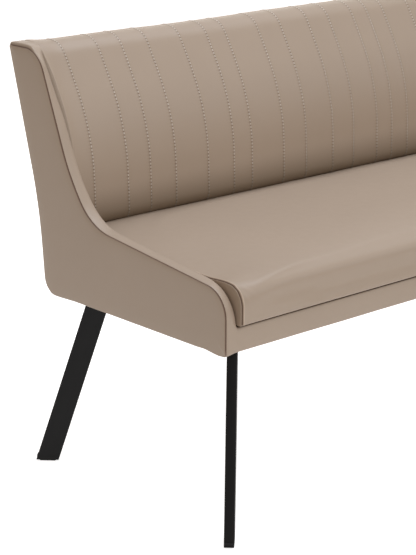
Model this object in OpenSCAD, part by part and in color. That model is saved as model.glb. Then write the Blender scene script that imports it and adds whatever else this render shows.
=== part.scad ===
// Upholstered corner bench in three elements: a long straight one, a square corner and a short straight one.
// Each straight element has an end cheek with a low arm that sweeps up into the back.
// An element is drawn along X with its front at Y = 0; the short side is its mirror image about the corner.

/* [Overall] */
// Outside length of the long side, from the cheek to the outer corner
long_side = 2000; // [1400:10:2600]
// Outside length of the short side, from the cheek to the outer corner
short_side = 1500; // [1250:10:2200]
// Height of the top of the back above the floor
back_top = 860; // [820:5:940]
// Height of the underside of the body above the floor
body_z = 358; // [320:1:390]

/* [Seat] */
// Depth from the front of the apron to the foot of the back
seat_depth = 483; // [440:1:540]
// Height of the apron below the cushion
apron_h = 46; // [42:1:60]
// Thickness of the cushion at its front edge
cushion_h = 80; // [60:1:100]
// Rise of the cushion top from front to rear
seat_rise = 6; // [0:1:15]
// Height of the crown in the middle of the cushion
seat_crown = 9; // [3:1:16]
// How far the cushion overhangs the apron
cushion_nose = 8; // [3:1:14]
// Room between the cushion and the cheek, and between the cushion and the back
cushion_end_gap = 2; // [0.5:0.5:4]
// How far the edges of the cushion are drawn in between its corners
draw_in = 3; // [0:0.5:6]
// Radius of the cushion corners seen from above
cushion_corner_r = 14; // [8:1:24]
// Thickness of the padded cover over the seat foam
seat_wadding = 16; // [12:1:22]

/* [Back] */
// Thickness of the back where it meets the body underside
back_base_t = 59; // [55:1:80]
// How far the rear face moves back from the underside to the top
back_lean = 102; // [70:1:130]
// Height of the bend of the rear face above the seat deck
bend_rise = 131; // [90:1:180]
// How far the rear face has moved back at its bend
bend_out = 15; // [8:1:25]
// Radius of the bend of the rear face
bend_r = 900; // [400:10:1000]
// Depth of the stitched channels
channel_d = 5; // [2:0.5:8]
// Thickness of the padded channelled cover
pad_t = 14; // [10:1:18]
// Widths of the stitched channels, repeated along the back
channel_widths = [54, 89, 61, 70, 92, 75, 54, 97, 70, 86, 68, 79, 51];
// Narrowest channel that the last stitch line may leave
channel_min = 40; // [30:1:50]
// Height of the solid top roll above the back foam
top_roll_h = 70; // [60:1:80]
// Radius of the top front edge of the back
top_roll_r = 50; // [30:1:55]
// Radius of the hollow of the back front
hollow_r = 400; // [250:10:420]
// Distance of the top front edge of the back from its rear face
top_roll_in = 53; // [48:1:60]
// How far the hollow of the back front lies behind its foot
hollow_out = 10; // [4:1:16]
// Depth of the hollow of the back front below the top
hollow_drop = 177; // [165:1:190]

/* [Cheek] */
// Thickness of the end cheek
cheek_w = 32; // [30:1:50]
// Height of the arm line above the seat deck at the front
arm_rise = 71; // [60:1:95]
// Rise of the arm line from the front to its sweep
arm_slope_rise = 49; // [30:1:60]
// Radius of the front corner of the arm
arm_front_r = 58; // [30:1:60]
// Radius of the sweep from the arm into the back
sweep_r = 125; // [90:1:150]
// Radius of the slow curve above the sweep
upper_sweep_r = 420; // [300:10:450]
// Radius of the top front corner of the cheek
cheek_top_r = 60; // [40:1:70]
// Distance of the top front corner of the cheek from its rear face
cheek_top_in = 87; // [80:1:95]
// Distance of the sweep from the foot of the back
sweep_in = 87; // [75:1:100]
// Distance of the upper sweep from the foot of the back
upper_sweep_in = 19; // [12:1:26]
// Height of the upper sweep above the arm, as a share of the height left above the arm
upper_sweep_share = 0.294; // [0.27:0.002:0.33]
// Radius of the rear bottom corner of the cheek
cheek_heel_r = 22; // [10:1:25]
// Radius of the small corners of the cheek
cheek_small_r = 7; // [6:0.5:8]
// How far the top of the cheek lies below the top of the back
cheek_drop = 3; // [0:0.5:8]
// Thickness of the cheek core board
core_t = 18; // [15:1:20]
// Thickness of the padded outer skin of the cheek
skin_t = 4; // [2:0.5:6]
// Thickness of the padded strip along the cheek edge
strip_t = 7; // [4:0.5:7]
// Step between the outer skin and the edge strip at their seam
seam_step = 1.2; // [0.5:0.1:2]

/* [Frame] */
// Thickness of the seat rails
rail_t = 28; // [24:1:32]
// Depth of the back posts and the top rail
post_d = 35; // [28:1:36]
// Width of the back posts
post_w = 30; // [25:1:45]
// Height of the top rail of the back
top_rail_h = 40; // [30:1:60]
// Thickness of the back board
board_t = 6; // [4:1:7]
// Thickness of the rear cover panel
rear_cover_t = 5; // [3:0.5:6]
// Thickness of the apron cover
apron_t = 6; // [3:0.5:7]
// Width of a webbing strap
strap_w = 60; // [40:5:70]
// Thickness of a webbing strap
strap_t = 2; // [1:0.5:3]
// Largest distance between webbing straps
strap_pitch = 150; // [110:5:200]
// Thickness of the dust cover
dust_t = 1.5; // [1:0.5:2]
// Largest distance between cross rails, and between back posts
bay = 480; // [350:10:600]

/* [Legs] */
// Width of the leg tube across its flat face
tube_w = 45; // [35:1:50]
// Thickness of the leg tube
tube_t = 20; // [15:1:24]
// Wall of the leg tube
tube_wall = 1.5; // [1:0.1:2.5]
// Outward splay of a leg along the diagonal, in degrees
splay = 18; // [5:1:20]
// Distance of a leg from the end of its element
leg_end_in = 54; // [54:1:60]
// Distance of a front leg from the apron front
leg_front_in = 38; // [38:1:60]
// Distance of a rear leg from the rear face
leg_rear_in = 106; // [104:1:130]
// Side of the square mounting plate
plate_w = 60; // [56:1:60]
// Thickness of the mounting plate
plate_t = 4; // [3:0.5:5]
// Distance of the screws from the plate centre
screw_off = 22; // [21:0.5:23]
// Diameter of the leg screws
screw_d = 6; // [4:0.5:7]
// Length of the leg screws under the head
screw_l = 35; // [25:1:38]
// Diameter of the screw head
screw_head_d = 10; // [8:0.5:10]
// Height of the screw head
screw_head_h = 4; // [2:0.5:5]
// Height of the glide below the tube
glide_h = 3.5; // [2:0.5:6]
// Length of the glide foot
glide_l = 35; // [25:1:38]
// Width of the glide foot
glide_w = 11; // [8:1:13]
// Height of the glide plug inside the tube
plug_h = 12; // [8:1:25]

/* [Joining bolts] */
// Diameter of the joining bolts
bolt_d = 8; // [6:1:10]
// Width of the joining nuts and bolt heads
bolt_head_d = 15; // [13:1:18]
// Thickness of the joining nuts and bolt heads
nut_t = 6.5; // [5:0.5:8]
// Length of bolt that shows past the nut
bolt_tail = 5; // [3:1:8]
// Distance of the joining bolts from the front and rear rails
bolt_in = 100; // [95:5:130]

/* [Hidden] */

leather = "#a9937f";
leather_dark = "#8f7c6e";
wood = "burlywood";
foam = "khaki";
black = "#222222";
steel = "silver";

// Clearance between pieces, clearance of a screw or plug in its hole, and overrun of a cut
gap = 0.3;
fit = 0.2;
cut = 1;

// Sides of the small round holes and shanks
round_n = 8;

// Heights
frame_z = body_z + plate_t + dust_t;
deck_z = body_z + apron_h;
rail_top = deck_z - strap_t;
cheek_top = back_top - cheek_drop;
arm_rear_z = deck_z + arm_rise + arm_slope_rise;
upper_sweep_z = arm_rear_z + upper_sweep_share * (cheek_top - arm_rear_z);
bend_z = deck_z + bend_rise;
roll_z = back_top - top_roll_h;
foam_h = cushion_h - seat_wadding;

// Depths
base_depth = seat_depth + back_base_t;
depth = base_depth + back_lean;
bend_y = base_depth + bend_out;
rail_front = strip_t;
rear_rail_y = base_depth - rear_cover_t - post_d - rail_t;
cushion_rear = seat_depth - cushion_end_gap;

// Element lengths
long_len = long_side - depth;
short_len = short_side - depth;

// Feet: how far a foot stands out from its leg top, and half its extent along X and Y
foot_run = (body_z - glide_h) * tan(splay);
foot_half = (tube_w / cos(splay) + tube_t) / 2 / sqrt(2);
foot_out = leg_end_in - foot_run / sqrt(2) - foot_half;

// Middle of the space that the bench takes up, seen from above
centre_x = (foot_out + long_side) / 2;
centre_y = (depth - short_side + foot_out + depth) / 2;

// Points of an arc of an outline, and of an arc of the padded cover
arc_n = 5;
pad_arc_n = 3;

// Steps across a channel as [share of its width, share of its height], and channels that fan at the corner
channel_steps = [[0, 0], [0.2, 0.7], [0.5, 1], [0.8, 0.7]];
fan_channels = 3;

// Side outline of a cheek as corners [y, z, radius], anticlockwise from the front of the underside
cheek_outline = [
    [0, body_z, cheek_small_r],
    [base_depth, body_z, cheek_heel_r],
    [bend_y, bend_z, bend_r],
    [depth, cheek_top, cheek_small_r],
    [depth - cheek_top_in, cheek_top, cheek_top_r],
    [seat_depth - upper_sweep_in, upper_sweep_z, upper_sweep_r],
    [seat_depth - sweep_in, arm_rear_z, sweep_r],
    [0, deck_z + arm_rise, arm_front_r]
];

// Side outline of the back above the deck, from its front bottom corner
back_outline = [
    [seat_depth, deck_z + gap, 0],
    [rear_y(deck_z + gap), deck_z + gap, 0],
    [bend_y, bend_z, bend_r],
    [rear_y(back_top), back_top, 0],
    [depth - top_roll_in, back_top, top_roll_r],
    [seat_depth + hollow_out, back_top - hollow_drop, hollow_r]
];

// Y of the rear face at height z
function rear_y(z) = z < bend_z
    ? base_depth + bend_out * (z - body_z) / (bend_z - body_z)
    : bend_y + (depth - bend_y) * (z - bend_z) / (cheek_top - bend_z);

// Outlines with rounded and moved corners
function yz(p) = [p[0], p[1]];
function unit(v) = v / norm(v);
function cross2(a, b) = a[0] * b[1] - a[1] * b[0];
function left_of(a, b) = let (d = unit(yz(b) - yz(a))) [-d[1], d[0]];
function meet(p, d, q, e) = p + d * cross2(q - p, e) / cross2(d, e);
function moved(a, b, c, t0, t1) = let (
    p = meet(yz(a) + left_of(a, b) * t0, yz(b) - yz(a), yz(b) + left_of(b, c) * t1, yz(c) - yz(b)),
    bulges = cross2(yz(b) - yz(a), yz(c) - yz(b)) > 0,
    r = b[2] == 0 ? 0 : max(b[2] - (bulges ? 1 : -1) * max(t0, t1), 0.5))
    [p[0], p[1], r];
function inset(c, t) = let (n = len(c))
    [for (i = [0:n - 1]) moved(c[(i + n - 1) % n], c[i], c[(i + 1) % n], t[(i + n - 1) % n], t[i])];
function arc(a, b, c, n) = let (
    u = unit(yz(a) - yz(b)),
    v = unit(yz(c) - yz(b)),
    half = acos(u * v) / 2,
    o = yz(b) + unit(u + v) * b[2] / sin(half),
    s = yz(b) + u * b[2] / tan(half) - o,
    turn = (cross2(yz(b) - yz(a), yz(c) - yz(b)) > 0 ? 1 : -1) * (180 - 2 * half))
    [for (k = [0:n - 1]) let (q = atan2(s[1], s[0]) + turn * k / (n - 1)) o + b[2] * [cos(q), sin(q)]];
function rounded(c, n) = let (m = len(c))
    [for (i = [0:m - 1]) each
        (c[i][2] == 0 ? [yz(c[i])] : arc(c[(i + m - 1) % m], c[i], c[(i + 1) % m], n))];

// A layer of the back that follows the rear face, from t0 to t1 in front of it and from z0 to z1
function layer(t0, t1, z0, z1) = let (bent = z0 < bend_z && z1 > bend_z)
    [[rear_y(z0) - t0, z0, 0], if (bent) [bend_y - t0, bend_z, bend_r], [rear_y(z1) - t0, z1, 0],
     [rear_y(z1) - t1, z1, 0], if (bent) [bend_y - t1, bend_z, bend_r], [rear_y(z0) - t1, z0, 0]];

// Front and top of the padded cover: outer points moved in by t, from the bottom up and over the top
function back_moved(t) = inset(back_outline, [0, 0, 0, t, t, t]);
function outer_points(t) = let (c = back_moved(t))
    concat([yz(c[0])], arc(c[0], c[5], c[4], pad_arc_n), arc(c[5], c[4], c[3], pad_arc_n),
        [[rear_y(back_top - t) - rear_cover_t - gap, back_top - t],
         [rear_y(roll_z) - rear_cover_t - gap, roll_z]]);
// Inner points of the padded cover, from the top roll down to the bottom
function inner_points() = let (
    c = back_moved(pad_t),
    d = yz(c[4]) - yz(c[5]),
    top = yz(c[5]) + d * (roll_z - c[5][1]) / d[1],
    bow = arc(c[0], c[5], c[4], pad_arc_n))
    [top, bow[2], bow[1], bow[0], yz(c[0])];

// Extrude a side outline along X from x0 to x1
module along(x0, x1, points) {
    translate([x0, 0, 0])
        rotate([90, 0, 90])
            linear_extrude(x1 - x0)
                polygon(points);
}

// A box from its lowest to its highest corner
module box(a, b) {
    translate(a)
        cube(b - a);
}

// Place a part of the long side, or the mirror image of it on the short side
module on_long() {
    translate([-centre_x, -centre_y, 0])
        children();
}
module on_short() {
    translate([long_len - centre_x, -short_len - centre_y, 0])
        mirror([1, -1, 0])
            children();
}

// Cut off what lies past the mitre of the corner, which starts at the end of an element
module mitred(end) {
    difference() {
        children();
        translate([end - gap, 0, -cut])
            rotate([0, 0, 45])
                translate([-depth, -2 * depth, 0])
                    cube([3 * depth, 2 * depth, back_top + 2 * cut]);
    }
}

// Cheek
module cheek_core() {
    side = gap + rear_cover_t;
    color(wood)
        along(skin_t, skin_t + core_t,
            rounded(inset(cheek_outline,
                [frame_z - body_z, side, side, strip_t, strip_t, strip_t, strip_t, strip_t]), arc_n));
}
module cheek_skin() {
    color(leather_dark)
        along(0, skin_t,
            rounded(inset(cheek_outline,
                [0, 0, 0, seam_step, seam_step, seam_step, seam_step, seam_step]), arc_n));
}
module cheek_strip() {
    side = gap + rear_cover_t;
    far = -strip_t;
    color(leather)
        difference() {
            along(skin_t, cheek_w, rounded(inset(cheek_outline, [0, side, side, 0, 0, 0, 0, 0]), arc_n));
            along(skin_t - cut, cheek_w + cut,
                rounded(inset(cheek_outline, [far, far, far, strip_t, strip_t, strip_t, strip_t, strip_t]),
                    arc_n));
        }
}
module cheek_inner_pad() {
    side = gap + rear_cover_t;
    color(leather)
        along(skin_t + core_t, cheek_w,
            rounded(inset(cheek_outline,
                [rail_top + gap - body_z, side, side, strip_t, strip_t, strip_t, strip_t, strip_t]), arc_n));
}

// Layers of the back
module rear_cover(x0, x1) {
    color(leather_dark)
        along(x0, x1, rounded(layer(0, rear_cover_t, body_z, cheek_top), arc_n));
}
module back_board(x0, x1) {
    t = rear_cover_t + post_d;
    color(wood)
        along(x0, x1, rounded(layer(t, t + board_t, deck_z + gap, roll_z), arc_n));
}
module back_post(x) {
    color(wood)
        along(x, x + post_w,
            rounded(layer(rear_cover_t, rear_cover_t + post_d, frame_z, roll_z - top_rail_h), arc_n));
}
module top_rail(x0, x1) {
    color(wood)
        along(x0, x1,
            rounded(layer(rear_cover_t, rear_cover_t + post_d, roll_z - top_rail_h, roll_z), arc_n));
}
module back_foam(x0, x1) {
    t = rear_cover_t + post_d + board_t;
    inner = inner_points();
    rear = rounded(layer(t, t + post_d, deck_z + gap, roll_z), arc_n);
    color(foam)
        along(x0, x1, concat([for (i = [0:arc_n + 1]) rear[i]], inner));
}
module back_posts(len) {
    x0 = cheek_w + gap;
    x1 = len - gap - post_w;
    n = ceil((x1 - x0) / bay);
    for (i = [0:n])
        back_post(x0 + (x1 - x0) * i / n);
    top_rail(x0, len - gap);
}

// Stitch lines of a back from x0 to x1, both ends included
function stitches(x0, x1, i = 0) = let (x = x0 + channel_widths[i % len(channel_widths)])
    x > x1 - channel_min ? [x0, x1] : concat([x0], stitches(x, x1, i + 1));

// Sections across the channels as [x, cover depth below the crown]
function sections(lines) = [
    for (i = [0:len(lines) - 2])
        for (s = channel_steps)
            [lines[i] + (lines[i + 1] - lines[i]) * s[0], channel_d * (1 - s[1])],
    [lines[len(lines) - 1], channel_d]
];

// Channelled cover of the back; where it fans, its sections turn from square on to the mitre at its end
module back_pad(x0, x1, fans) {
    lines = stitches(x0, x1);
    rows = sections(lines);
    fan_x = lines[max(len(lines) - 1 - fan_channels, 0)];
    inner = inner_points();
    n = len(outer_points(0)) + len(inner);
    points = [
        for (s = rows)
            let (w = fans ? max((s[0] - fan_x) / (x1 - fan_x), 0) : 0)
                for (p = concat(outer_points(s[1]), inner))
                    [s[0] + w * (p[0] - seat_depth), p[0], p[1]]
    ];
    sides = [
        for (j = [0:len(rows) - 2])
            for (k = [0:n - 1])
                let (a = j * n + k, b = j * n + (k + 1) % n)
                    each [[a, b, b + n], [a, b + n, a + n]]
    ];
    // Outer points are 0 to 8 and inner points 9 to 13, from the top roll down
    cap = [[0, 1, 13], [1, 12, 13], [1, 2, 12], [2, 11, 12], [2, 3, 11], [3, 10, 11], [3, 9, 10],
           [3, 4, 9], [4, 5, 9], [5, 6, 9], [6, 7, 9], [7, 8, 9]];
    last = (len(rows) - 1) * n;
    color(leather)
        polyhedron(points, concat(
            [for (f = cap) [f[2], f[1], f[0]]],
            sides,
            [for (f = cap) [f[0] + last, f[1] + last, f[2] + last]]));
}

// Points of a cushion's plan along its long edges, its short edges and each corner, and its least radius
plan_n = [9, 5];
corner_n = 3;
least_r = 3;

// Side profile of a cushion: steps up its side as [how far in, how high], then over its top as
// [how far in, how far down]
side_steps = [[6, 0], [1, 12], [0, 32]];
top_steps = [[0, 22], [2.5, 12], [8, 6.5], [22, 2.5], [60, 0.5], [120, 0], [190, 0]];

// Plan of a cushion moved in by t: a rounded rectangle with drawn-in edges, anticlockwise
function plan(a, b, t) = let (
    r = max(cushion_corner_r - t, least_r),
    lo = a + [t, t],
    hi = b - [t, t],
    corners = [lo, [hi[0], lo[1]], hi, [lo[0], hi[1]]])
    [for (i = [0:3]) each plan_side(corners[i], corners[(i + 1) % 4], r, plan_n[i % 2])];
function plan_side(p, q, r, n) = let (
    d = unit(q - p),
    m = [-d[1], d[0]],
    run = norm(q - p) - 2 * r)
    concat(
        [for (k = [1:n]) let (u = k / (n + 1)) p + d * (r + run * u) + m * draw_in * 4 * u * (1 - u)],
        [for (k = [0:corner_n - 1]) let (w = 90 * k / (corner_n - 1))
            q - d * r + m * r + r * (d * sin(w) - m * cos(w))]);

// Seat cushion cover with a crowned top and an open cavity for the foam, between plan corners a and b
module seat_cushion(a, b) {
    n = 2 * plan_n[0] + 2 * plan_n[1] + 4 * corner_n;
    z0 = deck_z + gap;
    m = (a + b) / 2;
    h = (b - a) / 2;
    function top_z(p) = deck_z + cushion_h + seat_rise * p[1] / seat_depth
        + seat_crown * (1 - pow(abs(p[0] - m[0]) / h[0], 4)) * (1 - pow(abs(p[1] - m[1]) / h[1], 2));
    points = concat(
        [for (p = plan(a, b, seat_wadding)) [p[0], p[1], z0 + foam_h]],
        [for (p = plan(a, b, seat_wadding)) [p[0], p[1], z0]],
        [for (e = side_steps) for (p = plan(a, b, e[0])) [p[0], p[1], z0 + e[1]]],
        [for (e = top_steps) for (p = plan(a, b, e[0])) [p[0], p[1], top_z(p) - e[1]]]);
    rings = len(points) / n;
    bands = [
        for (j = [0:rings - 2])
            for (k = [0:n - 1])
                let (p = j * n + k, q = j * n + (k + 1) % n)
                    each [[p, p + n, q + n], [p, q + n, q]]
    ];
    // A cap joins the two long edges, from the middle of one short edge to the middle of the other
    start = 2 * plan_n[0] + plan_n[1] + 3 * corner_n + floor(plan_n[1] / 2);
    cap = [
        for (k = [0:n / 2 - 1])
            let (f0 = (start + k) % n, f1 = (f0 + 1) % n, b0 = (start - k + n) % n, b1 = (b0 + n - 1) % n)
                each concat(k == 0 ? [] : [[f0, f1, b0]], f1 == b1 ? [] : [[f1, b1, b0]])
    ];
    last = (rings - 1) * n;
    color(leather)
        polyhedron(points, concat(
            cap,
            bands,
            [for (f = cap) [f[2] + last, f[1] + last, f[0] + last]]));
}
module seat_foam(a, b) {
    color(foam)
        translate([0, 0, deck_z + gap])
            linear_extrude(foam_h)
                polygon(plan(a, b, seat_wadding));
}
function straight_a() = [cheek_w + cushion_end_gap, -cushion_nose];
function straight_b(len) = [len - gap, cushion_rear];
function corner_a(len) = [len + gap, gap];
function corner_b(len) = [len + cushion_rear, cushion_rear];

// Seat frame of a straight element
function cross_xs(len) = let (x0 = skin_t + core_t, x1 = len - gap - rail_t, n = ceil((x1 - x0) / bay))
    [for (i = [0:n]) x0 + (x1 - x0) * i / n];
module seat_rails(len) {
    x0 = skin_t + core_t;
    color(wood)
        difference() {
            union() {
                box([x0, rail_front, frame_z], [len - gap, rail_front + rail_t, rail_top]);
                along(x0, len - gap,
                    rounded(layer(rear_cover_t + post_d, rear_cover_t + post_d + rail_t, frame_z, rail_top),
                        arc_n));
                for (x = cross_xs(len))
                    box([x, rail_front + rail_t + gap / 2, frame_z], [x + rail_t, rear_rail_y, rail_top]);
            }
            end_screw_holes();
            bolt_holes(len);
        }
}
module webbing(x0, x1) {
    n = max(ceil((x1 - x0 - strap_w) / strap_pitch), 1);
    color("dimgray")
        for (i = [0:n])
            translate([x0 + (x1 - x0 - strap_w) * i / n, rail_front + cut, rail_top])
                cube([strap_w, rear_rail_y + rail_t - rail_front - 2 * cut, strap_t]);
}
module apron(len) {
    color(leather)
        box([cheek_w + gap, 0, body_z], [len - gap, apron_t, deck_z]);
}
module dust_cover(len) {
    color("dimgray")
        difference() {
            box([skin_t + gap, rail_front + gap, frame_z - dust_t],
                [len - gap, base_depth - rear_cover_t - gap, frame_z]);
            end_screw_holes();
        }
}

// Seat frame and back posts of the corner: one half lies along each side, and its joint rail starts at y0
module corner_rails_half(len, y0) {
    box([len + gap, y0, frame_z], [len + gap + rail_t, rear_rail_y, rail_top]);
    along(len + gap, len + rear_rail_y,
        rounded(layer(rear_cover_t + post_d, rear_cover_t + post_d + rail_t, frame_z, rail_top), arc_n));
}
module corner_seat_rails() {
    post = [rear_rail_y + gap, rear_rail_y + rail_t - gap];
    color(wood)
        difference() {
            union() {
                on_long()
                    corner_rails_half(long_len, gap);
                on_short()
                    corner_rails_half(short_len, gap + rail_t + gap / 2);
                on_long()
                    box([long_len + post[0], post[0], frame_z], [long_len + post[1], post[1], rail_top]);
            }
            on_long()
                corner_screw_holes();
            on_long()
                bolt_holes(long_len);
            on_short()
                bolt_holes(short_len);
        }
}
module corner_posts_half(len) {
    back_post(len + gap);
    mitred(len)
        back_post(len + base_depth - rear_cover_t - post_w);
    mitred(len)
        top_rail(len + gap, len + depth);
}
module corner_dust_cover() {
    far = base_depth - rear_cover_t - gap;
    color("dimgray")
        difference() {
            box([long_len + gap, gap, frame_z - dust_t], [long_len + far, far, frame_z]);
            corner_screw_holes();
        }
}

// Legs: tube and plate are welded together; the tube leans out along the diagonal towards dir
module lean(at, dir) {
    translate([at[0], at[1], 0])
        rotate([0, 0, atan2(dir[1], dir[0])])
            children();
}
module slanted(w, t, z0, z1) {
    half = w / cos(splay) / 2;
    s0 = (body_z - z0) * tan(splay);
    s1 = (body_z - z1) * tan(splay);
    translate([0, t / 2, 0])
        rotate([90, 0, 0])
            linear_extrude(t)
                polygon([[s0 - half, z0], [s0 + half, z0], [s1 + half, z1], [s1 - half, z1]]);
}
module leg(at, dir) {
    color(black)
        difference() {
            union() {
                lean(at, dir)
                    slanted(tube_w, tube_t, glide_h, body_z);
                translate([at[0] - plate_w / 2, at[1] - plate_w / 2, body_z])
                    cube([plate_w, plate_w, plate_t]);
            }
            lean(at, dir)
                slanted(tube_w - 2 * tube_wall, tube_t - 2 * tube_wall, glide_h - cut, body_z);
            screw_holes(at);
        }
}
module glide(at, dir) {
    chamfer = glide_h / 2;
    run = (body_z - glide_h) * tan(splay);
    color(black)
        lean(at, dir) {
            slanted(tube_w - 2 * tube_wall - 2 * fit, tube_t - 2 * tube_wall - 2 * fit, glide_h,
                glide_h + plug_h);
            translate([run, glide_w / 2, 0])
                rotate([90, 0, 0])
                    linear_extrude(glide_w)
                        polygon([[-glide_l / 2 + chamfer, 0], [glide_l / 2 - chamfer, 0],
                            [glide_l / 2, chamfer], [glide_l / 2, glide_h],
                            [-glide_l / 2, glide_h], [-glide_l / 2, chamfer]]);
        }
}

// Wood beyond a screw in a leg block
block_edge = 10;

// Leg places: [centre, splay direction] at the ends of an element and at the corner, in an element's frame
end_legs = [
    [[leg_end_in, leg_front_in], [-1, -1]],
    [[leg_end_in, base_depth - leg_rear_in], [-1, 1]]
];
corner_near = rail_t + screw_off + block_edge;
corner_far = base_depth - leg_rear_in;
corner_legs = [
    [[long_len + corner_near, corner_near], [-1, -1]],
    [[long_len + corner_far, corner_far], [1, 1]],
    [[long_len + corner_near, corner_far], [-1, 1]],
    [[long_len + corner_far, corner_near], [1, -1]]
];
screw_signs = [[-1, -1], [1, -1], [-1, 1], [1, 1]];
module screw_holes(at) {
    for (s = screw_signs)
        translate([at[0] + s[0] * screw_off, at[1] + s[1] * screw_off, body_z - cut])
            cylinder(h = screw_l + plate_t + 2 * cut, d = screw_d + 2 * fit, $fn = round_n);
}
module end_screw_holes() {
    for (g = end_legs)
        screw_holes(g[0]);
}
module corner_screw_holes() {
    for (g = corner_legs)
        screw_holes(g[0]);
}
module screws(at) {
    color(steel)
        for (s = screw_signs)
            translate([at[0] + s[0] * screw_off, at[1] + s[1] * screw_off, body_z - screw_head_h]) {
                cylinder(h = screw_head_h, d = screw_head_d, $fn = 6);
                translate([0, 0, screw_head_h])
                    cylinder(h = screw_l, d = screw_d, $fn = round_n);
            }
}

// Wood blocks that the leg screws hold in, from corner lo to corner hi seen from above
module block(lo, hi) {
    box([lo[0], lo[1], frame_z], [hi[0], hi[1], rail_top]);
}
module end_blocks() {
    x0 = skin_t + core_t + rail_t + gap / 2;
    x1 = leg_end_in + screw_off + block_edge;
    block([x0, rail_front + rail_t + gap / 2], [x1, leg_front_in + screw_off + block_edge]);
    block([x0, base_depth - leg_rear_in - screw_off - block_edge], [x1, rear_rail_y - gap / 2]);
}
module corner_blocks() {
    near = [rail_t + 2 * gap, corner_near + screw_off + block_edge];
    far = [corner_far - screw_off - block_edge, rear_rail_y - gap / 2];
    translate([long_len, 0, 0])
        for (x = [near, far])
            for (y = [near, far])
                block([x[0], y[0]], [x[1], y[1]]);
}
module leg_blocks() {
    color(wood) {
        on_long()
            difference() {
                end_blocks();
                end_screw_holes();
            }
        on_short()
            difference() {
                end_blocks();
                end_screw_holes();
            }
        on_long()
            difference() {
                corner_blocks();
                corner_screw_holes();
            }
    }
}

// Bolts that join a straight element to the corner
bolt_ys = [rail_front + rail_t + bolt_in, rear_rail_y - bolt_in];
bolt_z = (frame_z + rail_top) / 2;
bolt_grip = 2 * rail_t + 2 * gap;
module bolt_holes(len) {
    for (y = bolt_ys)
        translate([len - bolt_grip, y, bolt_z])
            rotate([0, 90, 0])
                cylinder(h = 2 * bolt_grip, d = bolt_d + 2 * fit, $fn = round_n);
}
module joining_bolts(len) {
    color(steel)
        for (y = bolt_ys)
            translate([len - bolt_grip / 2 - nut_t, y, bolt_z])
                rotate([0, 90, 0]) {
                    cylinder(h = nut_t, d = bolt_head_d, $fn = 6);
                    cylinder(h = 2 * nut_t + bolt_grip + bolt_tail, d = bolt_d, $fn = round_n);
                }
}
module joining_nuts(len) {
    color(steel)
        for (y = bolt_ys)
            translate([len + bolt_grip / 2, y, bolt_z])
                rotate([0, 90, 0])
                    difference() {
                        cylinder(h = nut_t, d = bolt_head_d, $fn = 6);
                        translate([0, 0, -cut])
                            cylinder(h = nut_t + 2 * cut, d = bolt_d + 2 * fit, $fn = round_n);
                    }
}

on_long() cheek_core();  // long_cheek_core
on_long() cheek_skin();  // long_cheek_skin
on_long() cheek_strip();  // long_cheek_strip
on_long() cheek_inner_pad();  // long_cheek_inner_pad
on_long() rear_cover(skin_t, long_len - gap);  // long_rear_cover
on_long() back_board(cheek_w + gap, long_len - gap);  // long_back_board
on_long() back_posts(long_len);  // long_back_posts
on_long() back_foam(cheek_w + gap, long_len - gap);  // long_back_foam
on_long() back_pad(cheek_w + gap, long_len - gap, false);  // long_back_pad
on_long() seat_rails(long_len);  // long_seat_rails
on_long() webbing(cheek_w + gap, long_len - gap);  // long_webbing
on_long() seat_foam(straight_a(), straight_b(long_len));  // long_seat_foam
on_long() seat_cushion(straight_a(), straight_b(long_len));  // long_seat_cushion
on_long() apron(long_len);  // long_apron
on_long() dust_cover(long_len);  // long_dust_cover
on_short() cheek_core();  // short_cheek_core
on_short() cheek_skin();  // short_cheek_skin
on_short() cheek_strip();  // short_cheek_strip
on_short() cheek_inner_pad();  // short_cheek_inner_pad
on_short() rear_cover(skin_t, short_len - gap);  // short_rear_cover
on_short() back_board(cheek_w + gap, short_len - gap);  // short_back_board
on_short() back_posts(short_len);  // short_back_posts
on_short() back_foam(cheek_w + gap, short_len - gap);  // short_back_foam
on_short() back_pad(cheek_w + gap, short_len - gap, false);  // short_back_pad
on_short() seat_rails(short_len);  // short_seat_rails
on_short() webbing(cheek_w + gap, short_len - gap);  // short_webbing
on_short() seat_foam(straight_a(), straight_b(short_len));  // short_seat_foam
on_short() seat_cushion(straight_a(), straight_b(short_len));  // short_seat_cushion
on_short() apron(short_len);  // short_apron
on_short() dust_cover(short_len);  // short_dust_cover
on_long() mitred(long_len) rear_cover(long_len + gap, long_side);  // corner_rear_cover_a
on_short() mitred(short_len) rear_cover(short_len + gap, short_side);  // corner_rear_cover_b
union() {  // corner_back_boards
    on_long() mitred(long_len) back_board(long_len + gap, long_side);
    on_short() mitred(short_len) back_board(short_len + gap, short_side);
}
union() {  // corner_back_foams
    on_long() mitred(long_len) back_foam(long_len + gap, long_side);
    on_short() mitred(short_len) back_foam(short_len + gap, short_side);
}
union() {  // corner_back_posts
    on_long() corner_posts_half(long_len);
    on_short() corner_posts_half(short_len);
}
on_long() back_pad(long_len + gap, long_len + seat_depth - gap, true);  // corner_back_pad_a
on_short() back_pad(short_len + gap, short_len + seat_depth - gap, true);  // corner_back_pad_b
corner_seat_rails();
on_long() webbing(long_len + gap, long_len + rear_rail_y);  // corner_webbing
on_long() seat_foam(corner_a(long_len), corner_b(long_len));  // corner_seat_foam
on_long() seat_cushion(corner_a(long_len), corner_b(long_len));  // corner_seat_cushion
on_long() corner_dust_cover();
on_long() leg(end_legs[0][0], end_legs[0][1]);  // leg_long_front
on_long() leg(end_legs[1][0], end_legs[1][1]);  // leg_long_rear
on_short() leg(end_legs[0][0], end_legs[0][1]);  // leg_short_front
on_short() leg(end_legs[1][0], end_legs[1][1]);  // leg_short_rear
on_long() leg(corner_legs[0][0], corner_legs[0][1]);  // leg_corner_inner
on_long() leg(corner_legs[1][0], corner_legs[1][1]);  // leg_corner_outer
on_long() leg(corner_legs[2][0], corner_legs[2][1]);  // leg_corner_rear
on_long() leg(corner_legs[3][0], corner_legs[3][1]);  // leg_corner_side
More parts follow.
